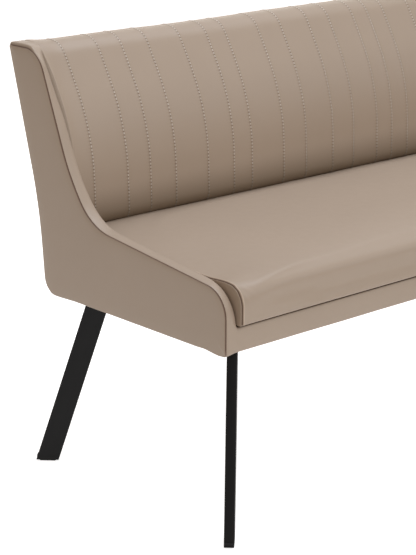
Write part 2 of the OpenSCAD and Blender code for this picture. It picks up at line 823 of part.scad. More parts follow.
union() {  // leg_screws
    on_long() for (g = concat(end_legs, corner_legs)) screws(g[0]);
    on_short() for (g = end_legs) screws(g[0]);
}
leg_blocks();
union() {  // leg_glides
    on_long() for (g = concat(end_legs, corner_legs)) glide(g[0], g[1]);
    on_short() for (g = end_legs) glide(g[0], g[1]);
}
union() {
    on_long() joining_bolts(long_len);
    on_short() joining_bolts(short_len);
}
union() {
    on_long() joining_nuts(long_len);
    on_short() joining_nuts(short_len);
}
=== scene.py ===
import math

import bmesh
import bpy
import numpy as np
from mathutils import Matrix, Vector, noise


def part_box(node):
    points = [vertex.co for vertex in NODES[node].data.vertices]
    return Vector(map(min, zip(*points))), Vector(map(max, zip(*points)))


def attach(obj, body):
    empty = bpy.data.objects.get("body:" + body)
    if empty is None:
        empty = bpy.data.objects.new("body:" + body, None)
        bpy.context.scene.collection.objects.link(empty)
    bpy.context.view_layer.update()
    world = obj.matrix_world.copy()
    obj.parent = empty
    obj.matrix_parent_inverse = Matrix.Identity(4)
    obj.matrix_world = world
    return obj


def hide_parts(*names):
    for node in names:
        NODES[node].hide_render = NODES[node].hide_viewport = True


bl_info = {
    "name": "Upholstered corner bench",
    "version": (1, 0, 0),
    "blender": (4, 5, 0),
    "location": "View3D > Sidebar > Bench",
    "description": "Covers, cushions, stitching, legs and finishes of a channelled corner bench",
    "category": "Object",
}

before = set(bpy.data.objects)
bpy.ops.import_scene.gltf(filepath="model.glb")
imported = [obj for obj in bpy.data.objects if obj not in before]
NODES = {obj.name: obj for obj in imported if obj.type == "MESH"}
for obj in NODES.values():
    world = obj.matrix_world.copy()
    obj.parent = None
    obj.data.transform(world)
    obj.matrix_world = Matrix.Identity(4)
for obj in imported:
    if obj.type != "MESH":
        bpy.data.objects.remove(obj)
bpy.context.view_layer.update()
MM = 0.001
# Less than any length that matters, to divide by
SMALLEST = 1e-9


# Properties


def length(name, description, value, low=0.0, high=3.0):
    """A length in metres that the user may change."""
    return bpy.props.FloatProperty(name=name, description=description, default=value, min=low, max=high,
                                   unit="LENGTH", subtype="DISTANCE", precision=4)


def colour(name, description, value):
    """A colour that the user may change, written as its three sRGB values from 0 to 255."""
    linear = [((v / 255 + 0.055) / 1.055) ** 2.4 if v > 10 else v / 255 / 12.92 for v in value]
    return bpy.props.FloatVectorProperty(name=name, description=description, default=linear, size=3,
                                         min=0.0, max=1.0, subtype="COLOR")


class BenchSizes(bpy.types.PropertyGroup):
    """Sizes of the covers and stitching that the solid model doesn't hold"""

    cheek_swell: length("Cheek swell", "How far the padded side of a cheek stands out", 1.3 * MM)
    hem_sag: length("Hem sag", "How far the hem of a cheek gathers down at the front corner", 8 * MM)
    apron_drop: length("Apron drop", "How far the hem of the apron hangs below the frame", 3.2 * MM)
    end_roll: length("End roll", "How far the back pad rolls away where it meets a cheek", 10 * MM)
    channel_depth: length("Channel depth", "Depth of a stitched channel at its thread", 2.6 * MM)
    stitch_pitch: length("Stitch pitch", "Distance from one stitch to the next", 7.2 * MM)
    stitch_length: length("Stitch length", "Length of thread that shows in one stitch", 3.6 * MM)
    thread_radius: length("Thread radius", "Half the thickness of the thread", 0.95 * MM)
    cushion_swell: length("Cushion swell", "Most that the seat cushion may swell", 7 * MM)
    cushion_nose_r: length("Cushion nose", "Radius of the front edge of the seat cushion", 22 * MM)
    cushion_ear_r: length("Cushion corner", "Radius of the front edge at the ends of the cushion", 38 * MM)
    tube_edge: length("Tube edge", "Radius of the edges of a leg tube", 2.2 * MM)


class BenchFinish(bpy.types.PropertyGroup):
    """Colours of the bench"""

    leather: colour("Leatherette", "Colour of the smooth leatherette cover", (171, 153, 135))
    # Also the colour of the shade painted in seams, in gaps, under the cushions, at the foot of the back and
    # at the stitch holes
    seam: colour("Seam", "Colour deep in an open seam", (88, 64, 48))
    thread: colour("Thread", "Colour of the stitching thread", (232, 225, 214))
    coat: colour("Powder coat", "Colour of the powder coated legs", (13, 13, 14))
    plastic: colour("Plastic", "Colour of the leg glides", (20, 20, 21))
    zinc: colour("Zinc", "Colour of the zinc plated screws", (176, 178, 180))
    beech: colour("Beech", "Colour of the solid wood rails and posts", (203, 168, 128))
    board: colour("Board", "Colour of the pressed wood board", (178, 146, 108))
    webbing: colour("Webbing", "Colour of the seat webbing", (58, 56, 54))
    dust: colour("Dust cloth", "Colour of the cloth under the seat", (40, 39, 40))
    floor: colour("Floor", "Colour of the floor", (244, 243, 241))


def sizes():
    return bpy.context.scene.bench_sizes


def finish():
    return bpy.context.scene.bench_finish


# The two sides of the bench


class Side:
    """One side of the bench: x runs from its cheek to the corner, y from its apron to the back."""

    def __init__(self, name, swapped):
        self.name = name
        self.swapped = swapped
        low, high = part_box(f"{name}_cheek_skin")
        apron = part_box(f"{name}_apron")[0]
        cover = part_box(f"{name}_rear_cover")[1]
        self.origin = np.array([apron[0], low[1], 0.0] if swapped else [low[0], apron[1], 0.0])
        self.end = (cover[1] - low[1]) if swapped else (cover[0] - low[0])
        self.depth = (high[0] - apron[0]) if swapped else (high[1] - apron[1])

    def place(self, points):
        """Points of this side's own frame in the frame of the whole bench."""
        points = np.asarray(points, float)
        if self.swapped:
            points = points[..., [1, 0, 2]]
        return points + self.origin

    def own(self, points):
        """Points of the whole bench in this side's own frame."""
        points = points - self.origin
        return points[..., [1, 0, 2]] if self.swapped else points


LONG = Side("long", False)
SHORT = Side("short", True)
SIDES = (LONG, SHORT)

# Heights of the body's underside, of the seat frame's top, and of the tops of the back pad and a cheek
BODY_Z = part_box("long_apron")[0][2]
DECK_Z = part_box("long_apron")[1][2]
BACK_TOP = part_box("long_back_pad")[1][2]
CHEEK_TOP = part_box("long_cheek_skin")[1][2]
# Depths behind the apron's face: of a whole side, of its free seat, and of its underside
DEPTH = LONG.depth
SEAT_DEPTH = 483 * MM
BASE_DEPTH = 548 * MM
# The rear face leans back in two flats, which meet here
BEND_Y = 563.5 * MM
BEND_Z = 535 * MM
# The padded rear cover and edge strip stand out past their solids
REAR_Y = DEPTH + 7.5 * MM
EDGE_TOP = CHEEK_TOP + 4 * MM
# Thickness of the rear cover and width of a cheek
COVER_T = 5.3 * MM
CHEEK_W = 32 * MM
# Where the back pad meets the seat cushion
PAD_FOOT = DECK_Z + 93 * MM
# Room between two neighbouring pieces
GAP = 0.3 * MM

# Corners of the side outline of a cheek as [y, z, radius], anticlockwise from the front of the underside
CHEEK = [
    [0, BODY_Z, 4 * MM],
    [BASE_DEPTH, BODY_Z, 34 * MM],
    [BEND_Y, BEND_Z, 900 * MM],
    [REAR_Y, CHEEK_TOP, 3 * MM],
    [DEPTH - 87 * MM, CHEEK_TOP, 60 * MM],
    [464 * MM, 621.9 * MM, 420 * MM],
    [396 * MM, 524 * MM, 125 * MM],
    [0, 475 * MM, 58 * MM],
]

# The strip stands above the side at the top, and its inner edge falls back to meet the pad of the back
STRIP_OUTER = CHEEK[:3] + [[c[0], CHEEK_TOP + 1 * MM, c[2]] for c in CHEEK[3:5]] + CHEEK[5:]
STRIP_INNER = CHEEK[:3] + [
    [REAR_Y, EDGE_TOP, 3 * MM],
    [592 * MM, EDGE_TOP, 45 * MM],
    [508 * MM, 724 * MM, 300 * MM],
    CHEEK[5],
    CHEEK[6],
    [0, 475 * MM, 85 * MM],
]

# Corners of the back pad, from its foot on the seat over the front and the top to the rear
BACK = [
    [507 * MM, PAD_FOOT - 11 * MM, 0],
    [486 * MM, PAD_FOOT, 30 * MM],
    [493 * MM, 683 * MM, 400 * MM],
    [591 * MM, BACK_TOP, 50 * MM],
    [REAR_Y - COVER_T + 0.8 * MM, BACK_TOP, 9 * MM],
    [REAR_Y - COVER_T - 12 * MM, BACK_TOP - 45 * MM, 0],
]
# Points behind it, which close the pad
BACK_INSIDE = [[REAR_Y - 31 * MM, BACK_TOP - 45 * MM], [566 * MM, 720 * MM], [516 * MM, 560 * MM]]


def rear_y(z):
    """Depth of the rear face at height z."""
    low = BASE_DEPTH + (BEND_Y - BASE_DEPTH) * (z - BODY_Z) / (BEND_Z - BODY_Z)
    high = BEND_Y + (REAR_Y - BEND_Y) * (z - BEND_Z) / (CHEEK_TOP - BEND_Z)
    return np.where(np.asarray(z) < BEND_Z, low, high)


# Outlines


def unit(v):
    """The vector v at length 1."""
    return v / max(np.linalg.norm(v), SMALLEST)


def arc(a, b, c, n):
    """n points of the arc that rounds corner b between its neighbours a and c."""
    a, c, corner = np.array(a[:2]), np.array(c[:2]), np.array(b[:2])
    if b[2] <= 0:
        return [corner]
    u, v = unit(a - corner), unit(c - corner)
    half = math.acos(np.clip(u @ v, -1, 1)) / 2
    middle = corner + unit(u + v) * b[2] / math.sin(half)
    start = corner + u * b[2] / math.tan(half) - middle
    w = corner - a
    turn = (1 if w[0] * (c - corner)[1] - w[1] * (c - corner)[0] > 0 else -1) * (math.pi - 2 * half)
    angles = math.atan2(start[1], start[0]) + turn * np.linspace(0, 1, n)
    return [middle + b[2] * np.array([math.cos(q), math.sin(q)]) for q in angles]


def rounded(corners, n):
    """A closed outline with its corners rounded, n points to a corner."""
    count = len(corners)
    points = []
    for i in range(count):
        points += arc(corners[i - 1], corners[i], corners[(i + 1) % count], n)
    return np.array(points)


SMALLEST_RADIUS = 0.4 * MM


def inset(corners, t):
    """The outline's corners after every edge has moved in by t."""
    count = len(corners)
    moved = []
    for i in range(count):
        a, b, c = (np.array(corners[j % count][:2]) for j in (i - 1, i, i + 1))
        d, e = unit(b - a), unit(c - b)
        p, q = b + t * np.array([-d[1], d[0]]), b + t * np.array([-e[1], e[0]])
        cross = d[0] * e[1] - d[1] * e[0]
        k = ((q - p)[0] * e[1] - (q - p)[1] * e[0]) / cross
        radius = max(corners[i][2] - (t if cross > 0 else -t), SMALLEST_RADIUS)
        moved.append([*(p + d * k), radius])
    return moved


def spaced(points, step):
    """A polyline sampled at even steps of about the given length, both ends kept."""
    points = np.asarray(points, float)
    along = np.concatenate([[0], np.cumsum(np.linalg.norm(np.diff(points, axis=0), axis=1))])
    count = max(int(round(along[-1] / step)), 2) + 1
    at = np.linspace(0, along[-1], count)
    return np.stack([np.interp(at, along, points[:, k]) for k in range(points.shape[1])], axis=1), at


def graded(low, high, first, last, step):
    """Places from low to high: close steps at both ends and even steps between."""
    a, b = low + first[-1] * MM, high - last[-1] * MM
    middle = np.linspace(a, b, max(int(round((b - a) / step)), 2) + 1)
    return np.concatenate([low + np.array(first[:-1]) * MM, middle, high - np.array(last[:-1][::-1]) * MM])


def normals_of(path):
    """Unit normals on the right of an open polyline in the y-z plane."""
    d = np.gradient(path, axis=0)
    d /= np.linalg.norm(d, axis=1, keepdims=True)
    return np.stack([d[:, 1], -d[:, 0]], axis=1)


def smoothstep(x):
    x = np.clip(x, 0, 1)
    return x * x * (3 - 2 * x)


def rising(x, start, over):
    """A smooth rise from 0 at the start to 1 further up, over the given length."""
    return smoothstep((x - start) / over)


def falling(x, end, over):
    """A smooth fall to 0 at the end, from 1 at the given length below it."""
    return smoothstep((end - x) / over)


def bell(x, width, middle=0.0):
    """A bell curve: 1 in the middle, and about a third one width away from it."""
    return np.exp(-(((x - middle) / width) ** 2))


def ripple(points, size, seed=0.0):
    """Smooth noise from about -1 to 1 at each point, with waves of the given size in metres."""
    flat = np.asarray(points, float).reshape(-1, 3) / size + seed
    values = np.array([noise.noise(Vector(p)) for p in flat])
    return values.reshape(np.asarray(points).shape[:-1])


# Pieces


def add_attributes(mesh, attributes):
    """Give each vertex of a mesh a value for each name."""
    for key, values in attributes.items():
        layer = mesh.attributes.new(key, "FLOAT", "POINT")
        layer.data.foreach_set("value", np.asarray(values, np.float32).ravel())


def make_piece(name, points, faces, mirrored, attributes=None):
    """A mesh piece at the origin, its faces turned round where its points were mirrored."""
    mesh = bpy.data.meshes.new(name)
    mesh.from_pydata([tuple(p) for p in points], [],
                     [tuple(reversed(f)) if mirrored else tuple(f) for f in faces])
    add_attributes(mesh, attributes or {})
    mesh.update()
    piece = bpy.data.objects.new(name, mesh)
    bpy.context.scene.collection.objects.link(piece)
    mesh.shade_smooth()
    return piece


def only(active, *others):
    """Select these objects and no more, and make the first one active."""
    bpy.ops.object.select_all(action="DESELECT")
    for piece in (active, *others):
        piece.select_set(True)
    bpy.context.view_layer.objects.active = active


def vectors(layer, key):
    """One vector for each vertex of a mesh, as an array."""
    values = np.empty(len(layer) * 3)
    layer.foreach_get(key, values)
    return values.reshape(-1, 3)


def settle(piece, material, slot, *nodes):
    """Give a finished piece its material, tie it to the body, and let it stand for its nodes; its slot is
    not used.
    """
    piece.data.materials.clear()
    piece.data.materials.append(material)
    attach(piece, "root")
    if nodes:
        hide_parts(*nodes)
    return piece


MERGE_WITHIN = 0.02 * MM


def outward(piece, merge=True):
    """Turn all faces of a closed piece outwards, after its doubled points are merged."""
    bm = bmesh.new()
    bm.from_mesh(piece.data)
    if merge:
        bmesh.ops.remove_doubles(bm, verts=bm.verts, dist=MERGE_WITHIN)
    bmesh.ops.recalc_face_normals(bm, faces=bm.faces)
    bm.to_mesh(piece.data)
    bm.free()
    piece.data.update()


def loft(rows):
    """Points and faces of a closed tube through rows of points, with both ends capped."""
    m, n = rows.shape[:2]
    faces = [
        (j * n + k, j * n + (k + 1) % n, (j + 1) * n + (k + 1) % n, (j + 1) * n + k)
        for j in range(m - 1) for k in range(n)
    ]
    faces.append(tuple(range(n - 1, -1, -1)))
    faces.append(tuple((m - 1) * n + k for k in range(n)))
    return rows.reshape(-1, 3), faces


def lofted(name, side, rows, **attributes):
    """A closed piece through rows of points in a side's own frame, its flat ends cut into triangles."""
    points, faces = loft(side.place(rows))
    piece = make_piece(name, points, faces, side.swapped, attributes)
    outward(piece)
    bm = bmesh.new()
    bm.from_mesh(piece.data)
    bmesh.ops.triangulate(bm, faces=[f for f in bm.faces if len(f.verts) > 4])
    bm.to_mesh(piece.data)
    bm.free()
    piece.data.shade_smooth()
    return piece


def covered(piece, fill, *nodes):
    """Give a padded piece its leatherette cover."""
    return settle(piece, look_of("leather"), "leatherette", *nodes)


# Hem of a cheek: distances behind its front in mm, with the drop at each as a share of the hem sag
HEM = [(0, 0.81), (22, 1), (40, 0.76), (58, 0.48), (82, 0.6), (450, 0.31), (505, 0.58), (548, 0.5)]
# The drop fades over this height above the hem and this width beside the cheek
HEM_HEIGHT = 30 * MM
HEM_WIDTH = 20 * MM
# How far behind its face the hem of the apron still hangs
APRON_REACH = 20 * MM


def sagged(points):
    """Points in a side's own frame with the hem gathered at the front corner and low along the apron."""
    x, y, z = points[..., 0], points[..., 1], points[..., 2]
    beside = bell(x, HEM_WIDTH)
    gather = sizes().hem_sag * np.interp(y / MM, *zip(*HEM))
    low = np.clip(1 - (z - BODY_Z) / HEM_HEIGHT, 0, 1)
    hang = sizes().apron_drop * (1 - beside) * (y < APRON_REACH)
    moved = np.array(points)
    moved[..., 2] -= (gather * beside + hang) * low
    return moved


def filled(outline, counts):
    """A closed outline with each of its segments cut into the given number of even parts."""
    following = np.roll(outline, -1, axis=0)
    return np.array([a + (b - a) * k / n for a, b, n in zip(outline, following, counts) for k in range(n)])


# Materials


class Wire:
    """A shader socket that takes part in Python expressions, each of which adds its Math node."""

    def __init__(self, look, socket):
        self.look = look
        self.socket = socket

    def maths(self, operation, *values):
        return self.look.node("Math", {"operation": operation}, values)

    def __add__(self, other):
        return self.maths("ADD", self, other)

    def __radd__(self, other):
        return self.maths("ADD", other, self)

    def __sub__(self, other):
        return self.maths("SUBTRACT", self, other)

    def __rsub__(self, other):
        return self.maths("SUBTRACT", other, self)

    def __mul__(self, other):
        return self.maths("MULTIPLY", self, other)

    def __rmul__(self, other):
        return self.maths("MULTIPLY", other, self)


class Look:
    """A material and the nodes that make it."""

    def __init__(self, name, base, roughness, metallic=0.0, specular=0.5):
        self.material = bpy.data.materials.new(name)
        self.material.use_nodes = True
        self.tree = self.material.node_tree
        self.surface = self.tree.nodes["Principled BSDF"]
        self.set("Base Color", shade(base))
        self.set("Roughness", roughness)
        self.set("Metallic", metallic)
        self.set("Specular IOR Level", specular)
        self.where = Wire(self, self.tree.nodes.new("ShaderNodeTexCoord").outputs["Object"])

    def node(self, kind, settings=None, values=(), out=0):
        """Add a node: its settings first, then the values or wires of its sockets, by place or by name."""
        made = self.tree.nodes.new("ShaderNode" + kind)
        for key, value in (settings or {}).items():
            setattr(made, key, value)
        pairs = values.items() if isinstance(values, dict) else enumerate(values)
        for key, value in pairs:
            self.feed(made.inputs[key], value)
        return Wire(self, made.outputs[out])

    def feed(self, socket, value):
        if isinstance(value, Wire):
            self.tree.links.new(value.socket, socket)
        else:
            socket.default_value = value

    def set(self, name, value):
        self.feed(self.surface.inputs[name], value)

    def noise(self, scale, detail=2.0, roughness=0.5, where=None):
        return self.node("TexNoise", None, {"Vector": where or self.where, "Scale": scale, "Detail": detail,
                                            "Roughness": roughness})

    def stretched(self, scale):
        """Object coordinates scaled by three factors."""
        return self.node("Mapping", None, {"Vector": self.where, "Scale": scale})

    def attribute(self, name):
        """A value that the mesh holds at each of its points."""
        return self.node("Attribute", {"attribute_name": name}, out=2)

    def mix(self, factor, first, second, blend="MIX"):
        """A mix of two colours."""
        return self.node("Mix", {"data_type": "RGBA", "blend_type": blend},
                         {0: factor, 6: first, 7: second}, out=2)

    def bump(self, height, distance, strength, before=None):
        values = {"Height": height, "Distance": distance, "Strength": strength}
        if before:
            values["Normal"] = before
        return self.node("Bump", None, values)


def shade(base, factor=1.0):
    """A colour made darker or lighter, as the four values of a colour socket."""
    return (*(min(c * factor, 1.0) for c in base), 1.0)


# Share of each of the three colours of the leatherette that is left where shade is painted deep in the
# crease behind the seat
CREASE_SHADE_TINT = (0.32, 0.28, 0.21)


def leather_look():
    """Smooth leatherette: soft mottling, a fine grain, dark open seams and small puckers at the stitches,
    with painted shade in seams, gaps and the crease and a painted highlight by the welts.
    """
    base, deep = finish().leather, finish().seam
    look = Look("leatherette", base, roughness=0.42, specular=0.48)
    clouds = look.noise(scale=3.2, detail=3, roughness=0.55)
    mottles = look.noise(scale=46, detail=3, roughness=0.6)
    tone = look.mix(clouds * 1.6 - 0.3, shade(base, 0.96), shade(base, 1.035))
    tone = look.mix(mottles * 0.5, tone, shade(base, 0.972))
    # The cover dips between one stitch and the next, where the needle went through; the holes and the stitch
    # line are painted darker, partly as shade in the dips
    seam, pucker = look.attribute("seam"), look.attribute("pucker")
    turns = look.attribute("along") * (2 * math.pi / sizes().stitch_pitch)
    wave = look.node("Math", {"operation": "COSINE"}, (turns,))
    hole_and_shade = look.node("Math", {"operation": "MAXIMUM"}, (0.0 - wave, 0.0)) * pucker
    tone = look.mix(hole_and_shade * 0.6 + pucker * 0.06, tone, shade(deep))
    # Painted shade: the leatherette darkens deep in the crease behind the seat
    painted_crease_shade = [c * share for c, share in zip(base, CREASE_SHADE_TINT)]
    tone = look.mix(look.attribute("crease") * 0.86, tone, shade(painted_crease_shade))
    # Painted highlight: the band beside the welts of the cushions is lighter
    tone = look.mix(look.attribute("rubbed") * 0.75, tone, shade(base, 1.45))
    # Dark open seams, and painted shade in gaps, under the cushions and at the foot of the back
    look.set("Base Color", look.mix(seam, tone, shade(deep)))
    look.set("Roughness", look.noise(scale=60) * 0.12 + 0.37 + seam * 0.35)
    cells = look.node("TexVoronoi", {"feature": "SMOOTH_F1"},
                      {"Vector": look.where, "Scale": 820, "Smoothness": 0.5})
    grain = cells + look.noise(scale=420, detail=3, roughness=0.6) * 0.6
    relief = look.bump(wave * pucker, distance=0.5 * MM, strength=0.5)
    look.set("Normal", look.bump(grain, distance=0.12 * MM, strength=0.4, before=relief))
    return look.material


def thread_look():
    """Pale twisted thread, with painted shade where it runs into the crease behind the seat."""
    base = finish().thread
    look = Look("stitching_thread", base, roughness=0.62)
    twist = look.node("TexWave", {"bands_direction": "DIAGONAL"},
                      {"Vector": look.where, "Scale": 620, "Distortion": 1.5})
    tone = look.mix(twist * 0.3, shade(base), shade(base, 0.82))
    look.set("Base Color", look.mix(look.attribute("crease") * 0.95, tone, shade(base, 0.16)))
    look.set("Normal", look.bump(twist, distance=0.15 * MM, strength=0.5))
    return look.material


def coat_look():
    """Black powder coat with a fine orange peel."""
    base = finish().coat
    look = Look("black_powder_coat", base, roughness=0.5, specular=0.2)
    look.set("Base Color", look.mix(look.noise(scale=30, detail=3), shade(base, 0.9), shade(base, 1.12)))
    look.set("Roughness", look.noise(scale=14, detail=3) * 0.14 + 0.44)
    look.set("Normal", look.bump(look.noise(scale=900), distance=0.06 * MM, strength=0.5))
    return look.material


def plastic_look():
    """Black moulded plastic with a faint grain."""
    base = finish().plastic
    look = Look("black_plastic", base, roughness=0.5)
    look.set("Base Color", look.mix(look.noise(scale=120), shade(base), shade(base, 1.35)))
    look.set("Roughness", look.noise(scale=80) * 0.2 + 0.42)
    look.set("Normal", look.bump(look.noise(scale=1500), distance=0.04 * MM, strength=0.4))
    return look.material


def zinc_look():
    """Zinc plated steel with a cloudy surface."""
    base = finish().zinc
    look = Look("zinc_plated_steel", base, roughness=0.32, metallic=1.0)
    look.set("Base Color", look.mix(look.noise(scale=260, detail=3), shade(base), shade(base, 0.78)))
    look.set("Roughness", look.noise(scale=400) * 0.2 + 0.24)
    look.set("Normal", look.bump(look.noise(scale=900), distance=0.03 * MM, strength=0.3))
    return look.material


def beech_look():
    """Solid beech with long grain and short dark flecks."""
    base = finish().beech
    look = Look("beech", base, roughness=0.6)
    rings = look.node("TexWave", {"wave_type": "BANDS", "bands_direction": "Z"},
                      {"Vector": look.stretched((0.6, 0.6, 6)), "Scale": 14, "Distortion": 5, "Detail": 3})
    flecks = look.noise(scale=1, roughness=0.7, where=look.stretched((90, 90, 900)))
    tone = look.mix(rings * 0.4, shade(base), shade(base, 0.72))
    look.set("Base Color", look.mix((flecks - 0.62) * 3, tone, shade(base, 0.5)))
    look.set("Roughness", rings * 0.12 + 0.55)
    look.set("Normal", look.bump(rings + flecks * 0.5, distance=0.1 * MM, strength=0.4))
    return look.material


def board_look():
    """Pressed board with chips of different tones."""
    base = finish().board
    look = Look("pressed_board", base, roughness=0.7)
    chips = look.node("TexVoronoi", {"feature": "F1"},
                      {"Vector": look.stretched((140, 140, 300)), "Scale": 1}, out=1)
    tone = look.mix(0.35, shade(base), chips, blend="SOFT_LIGHT")
    look.set("Base Color", look.mix(look.noise(scale=9, detail=3) * 0.4, tone, shade(base, 0.8)))
    look.set("Roughness", look.noise(scale=200) * 0.2 + 0.6)
    look.set("Normal", look.bump(look.noise(scale=350, detail=3), distance=0.1 * MM, strength=0.4))
    return look.material


def woven_look(name, base, pitch):
    """Cloth with a plain weave of the given pitch in metres."""
    look = Look(name, base, roughness=0.85, specular=0.25)
    scale = 1 / pitch / 4
    across = look.node("TexWave", {"bands_direction": "X"}, {"Vector": look.where, "Scale": scale})
    down = look.node("TexWave", {"bands_direction": "Y"}, {"Vector": look.where, "Scale": scale})
    weave = across * down
    fuzz = look.noise(scale=700, roughness=0.6)
    look.set("Base Color", look.mix(weave * 0.5 + fuzz * 0.2, shade(base, 0.75), shade(base, 1.3)))
    look.set("Roughness", fuzz * 0.1 + 0.8)
    look.set("Normal", look.bump(weave + fuzz * 0.4, distance=0.2 * MM, strength=0.5))
    return look.material


# Light that the floor gives to the camera of itself, so that it shows white
FLOOR_GLOW = 0.8


def floor_look():
    """A pale floor that the camera sees as white, apart from the shadow of the bench."""
    base = finish().floor
    look = Look("studio_floor", base, roughness=0.9, specular=0.0)
    look.set("Base Color", look.mix(look.noise(scale=2), shade(base), shade(base, 0.995)))
    path = look.tree.nodes.new("ShaderNodeLightPath")
    seen = look.node("Math", {"operation": "MAXIMUM"},
                     (Wire(look, path.outputs["Is Camera Ray"]), Wire(look, path.outputs["Is Glossy Ray"])))
    glow = look.node("Emission", None, {"Color": (1, 1, 1, 1), "Strength": seen * FLOOR_GLOW})
    both = look.node("AddShader", None, (Wire(look, look.surface.outputs[0]), glow))
    look.tree.links.new(both.socket, look.tree.nodes["Material Output"].inputs["Surface"])
    return look.material


WEBBING_PITCH = 1.6 * MM
DUST_PITCH = 0.9 * MM
LOOKS = {}


def look_of(name):
    """Each material is made once."""
    makers = {
        "leather": leather_look,
        "thread": thread_look,
        "coat": coat_look,
        "plastic": plastic_look,
        "zinc": zinc_look,
        "beech": beech_look,
        "board": board_look,
        "webbing": lambda: woven_look("seat_webbing", finish().webbing, WEBBING_PITCH),
        "dust": lambda: woven_look("dust_cloth", finish().dust, DUST_PITCH),
        "floor": floor_look,
    }
    if name not in LOOKS:
        LOOKS[name] = makers[name]()
    return LOOKS[name]


# Cheeks

# Rings of the padded side of a cheek, in mm: how far in from its outline, and how deep below its face,
# or, where that is less than nothing, how far it stands out as a share of the cheek swell.
# The first list holds beside the open seam, the second where the cover turns round the underside and rear.
OPEN_RINGS = [(0.9, 4.4), (0.6, 2.3), (0.75, 1.3), (1.3, 0.55), (2.4, 0.1), (4.4, -0.25), (8, -0.6),
              (14, -0.85), (23, -1)]
TURNED_RINGS = [(0.4, 7.5), (0.4, 3.0), (0.55, 1.4), (1.0, 0.5), (1.9, 0.1), (4.4, 0), (8, -0.3),
                (14, -0.7), (23, -1)]
# How dark each of the first rings is painted, as seam colour and shade deep in the seam
OPEN_SHADE = [1, 1, 0.9, 0.3, 0.04, 0, 0, 0, 0]
CORNER_POINTS = 12
EDGE_STEP = 8 * MM
# Where the cover turns under and to the rear: how far inside the outline the turn ends, and over what length
TURN_UNDER = (6 * MM, 5 * MM)
TURN_REAR = (8 * MM, 6 * MM)


def cheek_panel(side):
    """Outer side of a cheek: a padded skin that rolls into the open seam along its edge."""
    edge = rounded(CHEEK, CORNER_POINTS)
    lengths = np.linalg.norm(np.roll(edge, -1, axis=0) - edge, axis=1)
    counts = np.ceil(lengths / EDGE_STEP).astype(int)
    yz = filled(edge, counts)
    closed = np.maximum(falling(yz[:, 1], BODY_Z + TURN_UNDER[0], TURN_UNDER[1]),
                        rising(yz[:, 0], rear_y(yz[:, 1]) - TURN_REAR[0], TURN_REAR[1]))
    rings, shades = [], []
    for (open_in, open_deep), (turned_in, turned_deep), dark in zip(OPEN_RINGS, TURNED_RINGS, OPEN_SHADE):
        at_seam = filled(rounded(inset(CHEEK, open_in * MM), CORNER_POINTS), counts)
        at_turn = filled(rounded(inset(CHEEK, turned_in * MM), CORNER_POINTS), counts)
        yz = at_seam + (at_turn - at_seam) * closed[:, None]
        deep = open_deep + (turned_deep - open_deep) * closed
        x = np.where(deep > 0, deep * MM, deep * sizes().cheek_swell)
        rings.append(np.column_stack([x, yz]))
        # Deep in the open seam the rings are painted dark, as seam colour and shade
        shades.append(dark * (1 - closed))
    piece = lofted(f"{side.name}_cheek_side", side, sagged(np.array(rings)), seam=np.array(shades))
    return covered(piece, 1.0, f"{side.name}_cheek_skin")


# Section of the strip, in mm: distance across the cheek, and how deep below its surface
STRIP_SECTION = [(2.3, 9), (2.3, 4.6), (2.6, 2.8), (3.3, 1.5), (4.5, 0.6), (6.2, 0.12), (9, -0.1),
                 (14, -0.2), (19, -0.1), (23, 0.3), (26, 1.0), (28.5, 2.2), (30.4, 4), (31.5, 6.2),
                 (32, 9), (32, 11)]
# How dark its first points are painted, as seam colour and shade deep in the open seam
STRIP_SHADE = [1, 1, 0.9, 0.2, 0.02]
END_POINTS = 6
BEND_POINTS = 24
STRIP_STEP = 5 * MM


def edge_pair():
    """Outer and inner line of the strip, point for point, from the rear top corner to the foot."""
    rear = arc(STRIP_OUTER[2], STRIP_OUTER[3], STRIP_OUTER[4], END_POINTS)
    foot = arc(STRIP_OUTER[-1], STRIP_OUTER[0], STRIP_OUTER[1], END_POINTS)
    lines = []
    for corners in (STRIP_OUTER, STRIP_INNER):
        line = [rear[-1]]
        for i in range(4, len(corners)):
            line += arc(corners[i - 1], corners[i], corners[(i + 1) % len(corners)], BEND_POINTS)
        lines.append(np.array(line + [foot[0]]))
    outer = spaced(lines[0], STRIP_STEP)[0]
    # Along both lines the sum of depth and height falls steadily, so equal sums lie side by side
    level = outer.sum(axis=1)
    inner = np.stack([np.interp(-level, -lines[1].sum(axis=1), lines[1][:, k]) for k in (0, 1)], axis=1)
    return [np.concatenate([rear[:-1], line, foot[1:]]) for line in (outer, inner)]


# Where the strip changes its shape: the place where a change starts or ends, and the length it takes
BELOW_CUSHION = (DECK_Z + 8 * MM, 14 * MM)
ARM_FRONT = (35 * MM, 60 * MM)
ARM_TOP = (600 * MM, 60 * MM)
HIGH_UP = (800 * MM, 50 * MM)
CROWN_FRONT = (560 * MM, 26 * MM)
# Across the strip, in mm: where its crown starts and over what width, where it starts to cross to the
# inner line, over what width and by which power, and the two sides of its inner edge
CROWN_ACROSS = (1, 5)
CROSSING = (4, 28, 1.5)
INNER_EDGE = (19, 32)
# Height of the crown and depth of the inner edge below the cushion, in mm, and how flat the arm is
CROWN = 4.8
INNER_STEP = 0.25
ARM_FLATNESS = 0.6
# Waves of its surface: their length and seed, and their height
STRIP_WAVES = (0.06, 8.1)
STRIP_WAVE_HEIGHT = 0.25 * MM


